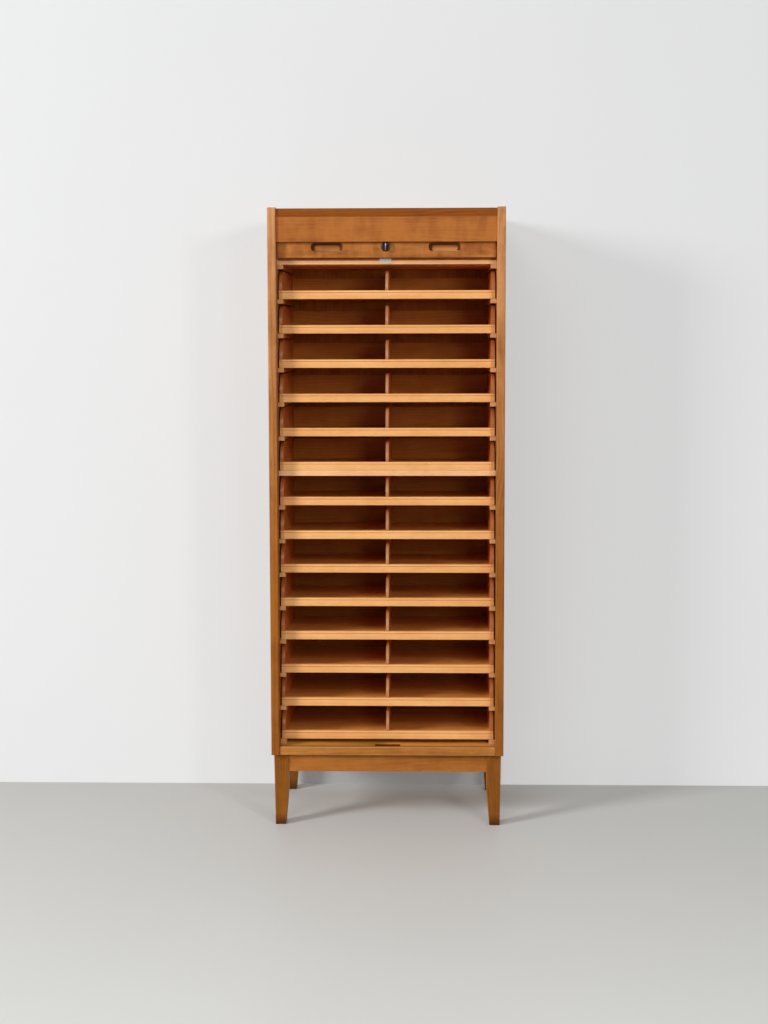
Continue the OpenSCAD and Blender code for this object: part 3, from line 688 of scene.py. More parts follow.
class Joinery:
    """Solids that together make one piece."""

    def __init__(self, name: str) -> None:
        """Starts an empty piece.

        Args:
            name: The piece's name.
        """
        self.name = name
        self.verts: list[Point3] = []
        self.faces: list[list[int]] = []
        self.marks: list[int] = []
        self.finishes: list[Finish] = []

    def _mark(self, finish: Finish) -> int:
        """Gives the number of a finish within the piece."""
        if finish not in self.finishes:
            self.finishes.append(finish)
        return self.finishes.index(finish)

    def prism(self, outline: Sequence[Point2], axis: Axis, start: float, stop: float, finish: Finish,
              trim: Optional[dict[int, Finish]] = None, last: Optional[Sequence[Point2]] = None) -> "Joinery":
        """Draws an outline out into a solid.

        Args:
            outline: Points as (depth, z) along X, as (x, z) along Y, or as (x, depth) along Z.
            axis: The direction of the drawing out.
            start: Where the solid starts on that axis; along Y this is a depth.
            stop: Where it stops.
            finish: The finish of its faces.
            trim: Other finishes, by the number of the outline's side.
            last: The outline where it stops, with as many points, when it differs.

        Returns:
            The joinery itself.
        """
        trim = trim or {}
        place = {Axis.X: lambda t, a, b: (t, FRONT + a, b),
                 Axis.Y: lambda t, a, b: (a, FRONT + t, b),
                 Axis.Z: lambda t, a, b: (a, FRONT + b, t)}[axis]
        first, count = len(self.verts), len(outline)
        for t, ring in ((start, outline), (stop, last or outline)):
            self.verts += [place(t, a, b) for a, b in ring]
        made = [[first + i for i in range(count)], [first + count + i for i in reversed(range(count))]]
        made += [[first + (i + 1) % count, first + i, first + count + i, first + count + (i + 1) % count]
                 for i in range(count)]
        self.faces += made
        self.marks += [self._mark(finish)] * 2 + [self._mark(trim.get(i, finish)) for i in range(count)]
        return self

    def plank(self, low: Sequence[float], high: Sequence[float], finish: Finish,
              trim: Optional[dict[int, Finish]] = None) -> "Joinery":
        """Adds a block between two corners given as (x, depth, z).

        Args:
            low: The lowest corner.
            high: The highest corner.
            finish: The finish of its faces.
            trim: Other finishes: 0 for its underside, 1 for its rear, 2 for its top, 3 for its front.

        Returns:
            The joinery itself.
        """
        outline = [(low[1], low[2]), (high[1], low[2]), (high[1], high[2]), (low[1], high[2])]
        return self.prism(outline, Axis.X, low[0], high[0], finish, trim)

    def mesh(self) -> bpy.types.Mesh:
        """Makes the mesh, with every face turned outwards.

        Returns:
            The mesh, with its materials.
        """
        mesh = bpy.data.meshes.new(self.name)
        mesh.from_pydata(self.verts, [], self.faces)
        for finish in self.finishes:
            mesh.materials.append(finish.material())
        mesh.polygons.foreach_set("material_index", self.marks)
        turn_outwards(mesh)
        return mesh

    def piece(self, ease: float = 0.0, segments: int = 2,
              finish: Optional[Finish] = None) -> bpy.types.Object:
        """Makes the object and links it to the scene, softened as softened does it."""
        return softened(link(self.name, self.mesh()), ease, segments, finish)


@contextmanager
def edited(mesh: bpy.types.Mesh) -> Iterator[bmesh.types.BMesh]:
    """Opens a mesh for editing, and writes it back.

    Args:
        mesh: The mesh to change.

    Yields:
        The mesh that is open.
    """
    work = bmesh.new()
    work.from_mesh(mesh)
    yield work
    work.to_mesh(mesh)
    work.free()


def turn_outwards(mesh: bpy.types.Mesh) -> None:
    """Turns every face of a mesh outwards."""
    with edited(mesh) as work:
        bmesh.ops.recalc_face_normals(work, faces=work.faces)


def link(name: str, data: bpy.types.ID) -> bpy.types.Object:
    """Links a new object to the scene.

    Args:
        name: The object's name.
        data: Its mesh, lamp or camera.

    Returns:
        The object.
    """
    made = bpy.data.objects.new(name, data)
    bpy.context.scene.collection.objects.link(made)
    return made


def softened(made: bpy.types.Object, ease: float = 0.0, segments: int = 2,
             finish: Optional[Finish] = None) -> bpy.types.Object:
    """Softens an object's sharp edges, and shades its curves smoothly.

    Args:
        made: The object to soften.
        ease: How wide the softening is, in metres; 0 leaves the edges sharp.
        segments: How many faces it has across.
        finish: The finish whose paler edge kind, worn and with a painted highlight, the softened edges take,
            if it is a timber.

    Returns:
        The object.
    """
    mesh = made.data
    mesh.polygons.foreach_set("use_smooth", [True] * len(mesh.polygons))
    mesh.set_sharp_from_angle(angle=SHARP)
    if ease > 0:
        bevel = made.modifiers.new("softened edges", "BEVEL")
        bevel.width = ease
        bevel.segments = segments
        bevel.limit_method = "ANGLE"
        bevel.angle_limit = SHARP
        bevel.harden_normals = True
        bevel.use_clamp_overlap = True
        # The softened edges take the paler edge finish, partly a painted highlight.
        if isinstance(finish, Timber):
            mesh.materials.append(finish.worn().material())
            bevel.material = len(mesh.materials) - 1
    return made


def outcome(made: bpy.types.Object) -> bpy.types.Mesh:
    """Gives the plain mesh that an object's modifiers lead to."""
    graph = bpy.context.evaluated_depsgraph_get()
    return bpy.data.meshes.new_from_object(made.evaluated_get(graph), depsgraph=graph)


def freeze(made: bpy.types.Object) -> None:
    """Turns an object's modifiers into plain mesh."""
    mesh = outcome(made)
    made.modifiers.clear()
    made.data = mesh


def cad_corners(node: str) -> list[Point3]:
    """Gives the lowest and the highest corner of a node, as (x, depth, z)."""
    return [(corner.x, corner.y - FRONT, corner.z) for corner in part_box(node)]


def cad_body(node: str) -> str:
    """Names the body that a node belongs to."""
    return frame["nodes"][node]["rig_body"]


def settle(piece: bpy.types.Object, node: str) -> None:
    """Lets a piece stand for a node and ride on its body.

    Args:
        piece: The finished piece.
        node: The node that it stands for.
    """
    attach(piece, cad_body(node))
    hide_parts(node)
    LOG.info("made %s", piece.name)


def dress(node: str, finish: Finish) -> None:
    """Gives a node that keeps its own mesh a finish.

    Args:
        node: The node's name.
        finish: The finish.
    """
    made = frame["nodes"][node]
    made.data.materials.clear()
    made.data.materials.append(finish.material())
    LOG.info("dressed %s", node)


def board(node: str, finish: Finish, ease: float, segments: int = 2,
          trim: Optional[dict[int, Finish]] = None) -> None:
    """Replaces a plain board with one whose edges are softened.

    Args:
        node: The board's node.
        finish: Its finish.
        ease: How wide the softening is.
        segments: How many faces it has across.
        trim: Other finishes: 0 for its underside, 1 for its rear, 2 for its top, 3 for its front.
    """
    joinery = Joinery(f"{node}_eased").plank(*cad_corners(node), finish, trim)
    settle(joinery.piece(ease, segments, finish), node)


def merged_copy(node: str, finish: Finish) -> bpy.types.Mesh:
    """Copies a node's mesh, joins its loose triangles and gives it a finish.

    Args:
        node: The node's name.
        finish: The finish.

    Returns:
        The mesh.
    """
    mesh = frame["nodes"][node].data.copy()
    with edited(mesh) as work:
        bmesh.ops.remove_doubles(work, verts=work.verts, dist=MERGE)
        bmesh.ops.dissolve_limit(work, angle_limit=FLAT, verts=work.verts, edges=work.edges)
        bmesh.ops.recalc_face_normals(work, faces=work.faces)
    mesh.materials.clear()
    mesh.materials.append(finish.material())
    mesh.polygons.foreach_set("material_index", [0] * len(mesh.polygons))
    return mesh


def eased_copy(node: str, finish: Finish, ease: float, segments: int = 2) -> None:
    """Replaces a node with a copy whose sharp edges are softened.

    Args:
        node: The node's name.
        finish: The finish.
        ease: How wide the softening is.
        segments: How many faces it has across.
    """
    piece = softened(link(f"{node}_eased", merged_copy(node, finish)), ease, segments, finish)
    settle(piece, node)


def rubbed_copy(node: str, finish: Timber, ease: float, chosen: Callable[[Vector], bool]) -> None:
    """Replaces a node with a copy on which chosen edges are rubbed round, with the paler edge finish that is
    partly a painted highlight.

    Args:
        node: The node's name.
        finish: The finish.
        ease: How wide the rounding is.
        chosen: Tells whether a point lies where edges are rubbed; both ends of an edge must.
    """
    mesh = merged_copy(node, finish)
    # The rounded edges take the paler edge finish, partly a painted highlight.
    mesh.materials.append(finish.worn().material())
    with edited(mesh) as work:
        edges = [edge for edge in work.edges if all(chosen(vert.co) for vert in edge.verts)
                 and len(edge.link_faces) == 2 and edge.calc_face_angle(0.0) > CORNER]
        bmesh.ops.bevel(work, geom=edges, offset=ease, segments=3, profile=0.5, affect="EDGES",
                        clamp_overlap=True, material=1)
    settle(softened(link(f"{node}_rubbed", mesh)), node)


# ---------------------------------------------------------------- things that repeat

def run_tree(tree: bpy.types.NodeTree, name: str, start: bpy.types.Mesh,
             values: dict[str, object]) -> bpy.types.Mesh:
    """Runs a geometry tree once and keeps its mesh.

    Args:
        tree: The geometry tree.
        name: Name of the mesh.
        start: The mesh that the tree works on.
        values: The tree's inputs by name.

    Returns:
        The plain mesh.
    """
    helper = link(f"{name}_helper", start)
    modifier = helper.modifiers.new("maker", "NODES")
    modifier.node_group = tree
    for item in tree.interface.items_tree:
        if item.item_type == "SOCKET" and item.in_out == "INPUT" and item.name in values:
            modifier[item.identifier] = values[item.name]
    mesh = outcome(helper)
    bpy.data.objects.remove(helper)
    mesh.name = name
    return mesh


def points_mesh(name: str, points: Iterable[Sequence[float]], joined: bool = False) -> bpy.types.Mesh:
    """Makes a mesh of bare points, or of points joined in a row.

    Args:
        name: The mesh's name.
        points: The points.
        joined: Whether each point is joined to the next.

    Returns:
        The mesh.
    """
    listed = [tuple(p) for p in points]
    mesh = bpy.data.meshes.new(name)
    mesh.from_pydata(listed, [(i, i + 1) for i in range(len(listed) - 1)] if joined else [], [])
    return mesh


def slat_tree() -> bpy.types.NodeTree:
    """Builds the tree that lays slats side by side along a path in the YZ plane.

    Returns:
        The geometry tree.
    """
    graph, take, leave = new_group(
        "slats along a track", "GeometryNodeTree",
        [("Geometry", "Geometry", None), ("Slats", "Int", 10),
         ("Length", "Float", 0.5), ("Width", "Float", 0.02),
         ("Thickness", "Float", 0.007), ("Edge radius", "Float", 0.0015),
         ("Material", "Material", None)],
        [("Geometry", "Geometry")])
    path = graph.put("GeometryNodeMeshToCurve", {0: take("Geometry")})
    stops = graph.put("GeometryNodeResampleCurve", {"Curve": path, "Count": take("Slats")})
    tangent = graph.split(graph.put("GeometryNodeInputTangent"))
    lean = graph.math("ARCTAN2", graph.math("MULTIPLY", tangent[1], -1.0), tangent[2])
    turn = graph.put("FunctionNodeEulerToRotation", {0: graph.vector(X=lean)})
    section = graph.put("GeometryNodeCurvePrimitiveQuadrilateral",
                        {"Width": take("Thickness"), "Height": take("Width")})
    section = graph.put("GeometryNodeFilletCurve",
                        {"Curve": section, "Radius": take("Edge radius"), "Count": 3}, mode="POLY")
    half = graph.math("MULTIPLY", take("Length"), 0.5)
    ends = [graph.vector(Z=graph.math("MULTIPLY", half, side)) for side in (-1.0, 1.0)]
    spine = graph.put("GeometryNodeCurvePrimitiveLine", {"Start": ends[0], "End": ends[1]})
    slat = graph.put("GeometryNodeCurveToMesh", {"Curve": spine, "Profile Curve": section, "Fill Caps": True})
    slat = graph.put("GeometryNodeTransform", {"Geometry": slat, "Rotation": (0, math.pi / 2, 0)})
    slat = graph.put("GeometryNodeSetShadeSmooth", {"Geometry": slat, "Shade Smooth": False})
    laid = graph.put("GeometryNodeInstanceOnPoints", {"Points": stops, "Instance": slat, "Rotation": turn})
    return graph.finished(laid, take("Material"), leave)


def batten_tree() -> bpy.types.NodeTree:
    """Builds the tree that stacks pairs of battens on the two sides.

    Returns:
        The geometry tree.
    """
    graph, take, leave = new_group(
        "pairs of battens", "GeometryNodeTree",
        [("Geometry", "Geometry", None), ("Size", "Vector", (0.014, 0.3, 0.01)),
         ("Spread", "Float", 0.5), ("Material", "Material", None),
         ("End material", "Material", None)],
        [("Geometry", "Geometry")])
    block = graph.put("GeometryNodeMeshCube", {"Size": take("Size")})
    sides = []
    for side in (-0.5, 0.5):
        away = graph.vector(X=graph.math("MULTIPLY", take("Spread"), side))
        moved = graph.put("GeometryNodeSetPosition", {"Geometry": take("Geometry"), "Offset": away})
        sides.append(graph.put("GeometryNodeInstanceOnPoints", {"Points": moved, "Instance": block}))
    normal = graph.split(graph.put("GeometryNodeInputNormal"))
    end = graph.math("GREATER_THAN", graph.math("ABSOLUTE", normal[1]), 0.5)
    return graph.finished(graph.joined(*sides), take("Material"), leave, end, take("End material"))


def screw_tree() -> bpy.types.NodeTree:
    """Builds the tree that drives a slotted countersunk screw at each point.

    Returns:
        The geometry tree. A screw's head faces +Z before it is turned.
    """
    graph, take, leave = new_group(
        "slotted screws", "GeometryNodeTree",
        [("Geometry", "Geometry", None), ("Head radius", "Float", 0.0034),
         ("Shank radius", "Float", 0.0016), ("Length", "Float", 0.011),
         ("Slot width", "Float", 0.0009), ("Slot depth", "Float", 0.0008),
         ("Facing", "Vector", (0, 0, 0)), ("Seed", "Int", 7),
         ("Material", "Material", None)],
        [("Geometry", "Geometry")])
    drop = graph.math("SUBTRACT", take("Head radius"), take("Shank radius"))
    head = graph.put("GeometryNodeMeshCone", {"Vertices": 32, "Radius Top": take("Head radius"),
                                              "Radius Bottom": take("Shank radius"), "Depth": drop})
    sunk = graph.vector(Z=graph.math("MULTIPLY", drop, -1.0))
    head = graph.put("GeometryNodeTransform", {"Geometry": head, "Translation": sunk})
    shank = graph.put("GeometryNodeMeshCylinder", {"Vertices": 24, "Radius": take("Shank radius"),
                                                   "Depth": graph.math("SUBTRACT", take("Length"), drop)})
    middle = graph.math("MULTIPLY", graph.math("ADD", take("Length"), drop), -0.5)
    shank = graph.put("GeometryNodeTransform", {"Geometry": shank, "Translation": graph.vector(Z=middle)})
    size = graph.vector(X=graph.math("MULTIPLY", take("Head radius"), 3.0), Y=take("Slot width"),
                        Z=graph.math("MULTIPLY", take("Slot depth"), 2.0))
    slot = graph.put("GeometryNodeMeshCube", {"Size": size})
    cut = graph.put("GeometryNodeMeshBoolean", {"Mesh 1": head, "Mesh 2": slot}, operation="DIFFERENCE")
    chance = graph.add("FunctionNodeRandomValue", {"Seed": take("Seed")}, data_type="FLOAT")
    spin = graph.math("MULTIPLY", chance.outputs[1], math.pi)
    own = graph.put("FunctionNodeEulerToRotation", {0: graph.vector(Z=spin)})
    face = graph.put("FunctionNodeEulerToRotation", {0: take("Facing")})
    turn = graph.put("FunctionNodeRotateRotation", {0: face, 1: own}, rotation_space="LOCAL")
    screw = graph.joined(cut, shank)
    put = graph.put("GeometryNodeInstanceOnPoints", {"Points": take("Geometry"), "Instance": screw,
                                                     "Rotation": turn})
    return graph.finished(put, take("Material"), leave)


# ---------------------------------------------------------------- case

@dataclass
class Carcass:
    """The case without its curtain: panels, boards, battens and the back."""

    batten_w: float = 0.014
    batten_h: float = 0.0105
    foot_batten_h: float = 0.0124
    batten_ease: float = 0.0006
    pitch: float = 0.0816
    upper: int = 6                 # how many trays there are above the fixed shelf
    lower: int = 8                 # and how many below it
    inner_half: float = 0.260
    batten_front: float = 0.038
    batten_back: float = 0.364
    panel_ease: float = 0.0012
    fascia_ease: float = 0.0008
    shelf_ease: float = 0.0009
    rail_ease: float = 0.0014
    plate_ease: float = 0.00035
    slot_reach: float = 0.025      # how far back the bolt's slot and the groove lie in the bottom board
    slot_skin: float = 0.0005
    slot_rim: float = 0.0002
    slot_side: float = 0.002
    strip_t: float = 0.007
    strip_h: float = 0.0064
    strip_sunk: float = 0.002
    strip_back: float = 0.0004

    def build(self) -> None:
        """Makes every piece of the case."""
        for node, finish in (("inner_back", INNER), ("back_panel", BACK)):
            dress(node, finish)
        for node in ("side_panel_left", "side_panel_right"):
            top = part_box(node)[1].z
            rubbed_copy(node, PANEL, self.panel_ease,
                        lambda at: abs(at.y - FRONT) < TOUCH or abs(at.z - top) < TOUCH)
        self.sill()
        board("top_board", TOP, self.panel_ease, trim={2: TOP_FACE})
        board("fascia_board", FASCIA, self.fascia_ease)
        self.ceiling()
        board("fixed_shelf", SHELF, self.shelf_ease)
        board("bottom_front_rail", SILL, self.rail_ease, 3)
        board("label_plate", PLATE, self.plate_ease)
        self.battens()

    def ceiling(self) -> None:
        """Makes the ceiling board, with the low stop strip on it that backs the label plate."""
        low, high = cad_corners("ceiling_board")
        joinery = Joinery("ceiling_board_eased").plank(low, high, SHELF)
        joinery.plank((low[0], low[1] + self.strip_back, high[2] - self.strip_sunk),
                      (high[0], low[1] + self.strip_t, high[2] + self.strip_h), FASCIA)
        settle(joinery.piece(self.shelf_ease, finish=SHELF), "ceiling_board")

    def sill(self) -> None:
        """Makes the bottom board, with painted shade on the faces inside its groove and its slot for the
        bolt.
        """
        mesh = merged_copy("bottom_board", SILL_TOP)
        mesh.materials.append(HOLLOW_SHADE.material())
        low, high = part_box("bottom_board")
        # Painted shade on the faces inside the groove and the slot.
        for face in mesh.polygons:
            middle = Vector(face.center)
            if low.z + self.slot_skin < middle.z < high.z - self.slot_rim \
                    and middle.y < low.y + self.slot_reach and abs(middle.x) < high.x - self.slot_side:
                face.material_index = 1
        settle(softened(link("bottom_board_dressed", mesh)), "bottom_board")

    def battens(self) -> None:
        """Stacks the battens that the trays run on."""
        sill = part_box("bottom_board")[1].z
        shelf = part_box("fixed_shelf")[1].z
        rows = [sill + self.foot_batten_h + i * self.pitch - self.batten_h / 2 for i in range(1, self.lower)]
        rows += [shelf + i * self.pitch - self.batten_h / 2 for i in range(1, self.upper + 1)]
        depth = self.batten_back - self.batten_front
        middle = FRONT + (self.batten_front + self.batten_back) / 2
        tree = batten_tree()
        name = "runner_battens_eased"
        mesh, foot = (run_tree(tree, name, points_mesh("rows", [(0, middle, z) for z in heights]),
                               {"Size": (self.batten_w, depth, thick),
                                "Spread": 2 * self.inner_half - self.batten_w,
                                "Material": BATTEN.material(), "End material": BATTEN_END.material()})
                      for heights, thick in ((rows, self.batten_h),
                                             ([sill + self.foot_batten_h / 2], self.foot_batten_h)))
        with edited(mesh) as work:
            work.from_mesh(foot)
        settle(softened(link(name, mesh), self.batten_ease), "runner_battens")


@dataclass
class Screws:
    """The slotted screws of the back panel and the base."""

    head_radius: float = 0.0034
    shank_radius: float = 0.0016
    back_length: float = 0.011
    base_length: float = 0.035
    side_x: float = 0.265
    column_x: float = 0.130
    back_depth: float = 0.398
    rows: int = 5
    margin: float = 0.060
    top_board: float = 0.020       # how much of the back panel covers the top board
    low_rise: float = 0.00975
    high_rise: float = 0.010
    back_seed: int = 11
    base_seed: int = 23

    def build(self) -> None:
        """Drives all the screws."""
        tree = screw_tree()
        low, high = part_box("back_panel")
        base_z, top_z = low.z, high.z - self.top_board
        step = (top_z - base_z - 2 * self.margin) / (self.rows - 1)
        y = FRONT + self.back_depth
        places = [(side * self.side_x, y, base_z + self.margin + i * step)
                  for side in (-1, 1) for i in range(self.rows)]
        places += [(side * self.column_x, y, z)
                   for side in (-1, 1) for z in (base_z + self.low_rise, top_z + self.high_rise)]
        self._drive(tree, "back_screws", places, self.back_length, (-math.pi / 2, 0, 0), self.back_seed)
        low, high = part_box("base_screws")
        x = high.x - self.head_radius
        corners = [(side * x, y, low.z) for side in (-1, 1)
                   for y in (low.y + self.head_radius, high.y - self.head_radius)]
        self._drive(tree, "base_screws", corners, self.base_length, (math.pi, 0, 0), self.base_seed)

    def _drive(self, tree: bpy.types.NodeTree, node: str, places: Sequence[Point3], length: float,
               facing: Point3, seed: int) -> None:
        """Drives one set of screws.

        Args:
            tree: The screw tree.
            node: The node that they stand for.
            places: Middle of each head's face.
            length: Length of a screw.
            facing: The turn that brings +Z to the head's side.
            seed: Seed for the turns of the slots.
        """
        mesh = run_tree(tree, f"{node}_slotted", points_mesh("places", places),
                        {"Head radius": self.head_radius, "Shank radius": self.shank_radius, "Length": length,
                         "Facing": facing, "Seed": seed, "Material": SCREW.material()})
        settle(softened(link(f"{node}_slotted", mesh)), node)


# ---------------------------------------------------------------- base

@dataclass
class Base:
    """The four legs and the frame between them."""

    leg_ease: float = 0.0015
    apron_ease: float = 0.0010

    def build(self) -> None:
        """Makes every piece of the base."""
        for side in ("left", "right"):
            for end in ("front", "rear"):
                eased_copy(f"leg_{end}_{side}", LEG, self.leg_ease, 3)
        for node in ("apron_front", "apron_rear", "apron_left", "apron_right"):
            board(node, APRON, self.apron_ease)
        dress("corner_blocks", BLOCK)


# ---------------------------------------------------------------- curtain

@dataclass
class Curtain:
    """The slatted curtain: the stored part on its track, its canvas, and the part that follows the rail."""

    track_front: float = 0.028
    track_rear: float = 0.380
    bend_radius: float = 0.040
    bend_z: float = 1.416
    slat_width: float = 0.020
    slat_gap: float = 0.0005
    slat_thickness: float = 0.007
    slat_length: float = 0.535
    slat_edge: float = 0.0012
    slats: int = 58
    track_step: float = 0.0005
    canvas_width: float = 0.504
    canvas_inset: float = 0.004
    canvas_thickness: float = 0.0008
    canvas_lift: float = 0.0003
    canvas_step: float = 0.004
    canvas_columns: int = 24
    front_ease: float = 0.0016
    # How an edge of a slat in the front part is rounded: shares of that width, and of the slat's height.
    front_edge: tuple[Point2, ...] = ((0.4, 0.01), (0.15, 0.03), (0.0, 0.08))
    front_low: float = 1.4150
    front_high: float = 1.4330
    travel: float = 1.1718
    halvings: int = 50             # how many steps find a height to its last digit

    @property
    def pitch(self) -> float:
        """Distance from one slat to the next."""
        return self.slat_width + self.slat_gap

    def build(self) -> None:
        """Makes the curtain."""
        self.stored()
        self.canvas()
        self.front()

    def path(self, inset: float, start: float, length: float, step: float) -> list[Point3]:
        """Follows the track up the front, round the top and down the rear.

        Args:
            inset: Distance inside the track's middle line.
            start: Height of the first point on the front run.
            length: Length of the path along that line.
            step: Distance between points.

        Returns:
            The path's points.
        """
        radius = self.bend_radius - inset
        up, bend = self.bend_z - start, radius * math.pi / 2
        run = self.track_rear - self.track_front - 2 * self.bend_radius
        count = max(2, round(length / step))
        points = []
        for i in range(count + 1):
            s = length * i / count
            if s < up:
                depth, z = self.track_front + inset, start + s
            elif s < up + bend:
                a = (s - up) / radius
                depth = self.track_front + self.bend_radius - radius * math.cos(a)
                z = self.bend_z + radius * math.sin(a)
            elif s < up + bend + run:
                depth, z = self.track_front + self.bend_radius + s - up - bend, self.bend_z + radius
            elif s < up + 2 * bend + run:
                a = (s - up - bend - run) / radius
                depth = self.track_rear - self.bend_radius + radius * math.sin(a)
                z = self.bend_z + radius * math.cos(a)
            else:
                depth, z = self.track_rear - inset, self.bend_z - (s - up - 2 * bend - run)
            points.append((0.0, FRONT + depth, z))
        return points

    def stored(self) -> None:
        """Lays the stored slats, from the second one on, along the track."""
        rail_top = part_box("handle_rail")[1].z
        inner = self.path(self.slat_thickness / 2, rail_top, self.slats * self.pitch, self.track_step)
        start, stop = (round(count * self.pitch / self.track_step) for count in (1.5, self.slats - 0.5))
        mesh = run_tree(slat_tree(), "stored_slats", points_mesh("track", inner[start:stop + 1], joined=True),
                        {"Slats": self.slats - 1, "Length": self.slat_length, "Width": self.slat_width,
                         "Thickness": self.slat_thickness, "Edge radius": self.slat_edge,
                         "Material": SLAT.material()})
        settle(softened(link("stored_slats", mesh)), "curtain_slats")

    def canvas(self) -> None:
        """Makes the cloth on the inside of the slats."""
        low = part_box("curtain_canvas")[0]
        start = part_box("handle_rail")[1].z + self.canvas_lift
        radius = self.bend_radius - self.canvas_inset
        run = self.track_rear - self.track_front - 2 * self.bend_radius
        length = (self.bend_z - start) + radius * math.pi + run + (self.bend_z - low.z)
        spine = self.path(self.canvas_inset, start, length, self.canvas_step)
        columns = self.canvas_columns
        across = [(column / columns - 0.5) * self.canvas_width for column in range(columns + 1)]
        verts = [(x, y, z) for _, y, z in spine for x in across]
        uvs = [(x, row * length / (len(spine) - 1)) for row in range(len(spine)) for x in across]
        firsts = [row * (columns + 1) + column for row in range(len(spine) - 1) for column in range(columns)]
        faces = [(first, first + 1, first + columns + 2, first + columns + 1) for first in firsts]
        mesh = bpy.data.meshes.new("glued_canvas")
        mesh.from_pydata(verts, [], faces)
        layer = mesh.uv_layers.new(name="cloth")
        for loop in mesh.loops:
            layer.data[loop.index].uv = uvs[loop.vertex_index]
        mesh.materials.append(CANVAS.material())
        mesh.polygons.foreach_set("use_smooth", [True] * len(mesh.polygons))
        piece = link("glued_canvas", mesh)
        thick = piece.modifiers.new("cloth thickness", "SOLIDIFY")
        thick.thickness = self.canvas_thickness
        thick.offset = 0.0
        settle(piece, "curtain_canvas")

    def front(self) -> None:
        """Makes the part that unrolls behind the rail, gathered tightly while the rail is up."""
        half, depth = self.slat_thickness / 2, FRONT + self.track_front
        rounding = [(-half + share * self.front_ease, inset) for share, inset in self.front_edge]
        section = [(half, -0.5), (half, 0.5)] + [(d, 0.5 - inset) for d, inset in rounding]
        section += [(d, inset - 0.5) for d, inset in reversed(rounding)]
        low_closed = self.front_low - self.travel
        length = self.front_high - low_closed
        pitch = length / self.slats
        share = self.slat_width / self.pitch
        joinery = Joinery("front_curtain")
        for k in range(self.slats):
            middle = low_closed + (k + 0.5) * pitch
            outline = [(self.track_front + d, self._gathered(middle + h * pitch * share)) for d, h in section]
            joinery.prism(outline, Axis.X, -self.slat_length / 2, self.slat_length / 2, SLAT)
        piece = joinery.piece()
        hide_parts("curtain_lead_slat")
        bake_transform(piece)
        LOG.info("made %s", piece.name)

    def _gathered(self, closed: float) -> float:
        """Finds where a point of the closed curtain lies while the rail is up.

        Args:
            closed: The point's height with the rail down.

        Returns:
            Its height with the rail up.
        """
        low, high = 0.0, 1.0
        reach = self.front_high - self.front_low
        for _ in range(self.halvings):
            t = (low + high) / 2
            if self.front_high - reach * t - t * t * (3 - 2 * t) * self.travel > closed:
                low = t
            else:
                high = t
        return self.front_high - reach * (low + high) / 2


# ---------------------------------------------------------------- door

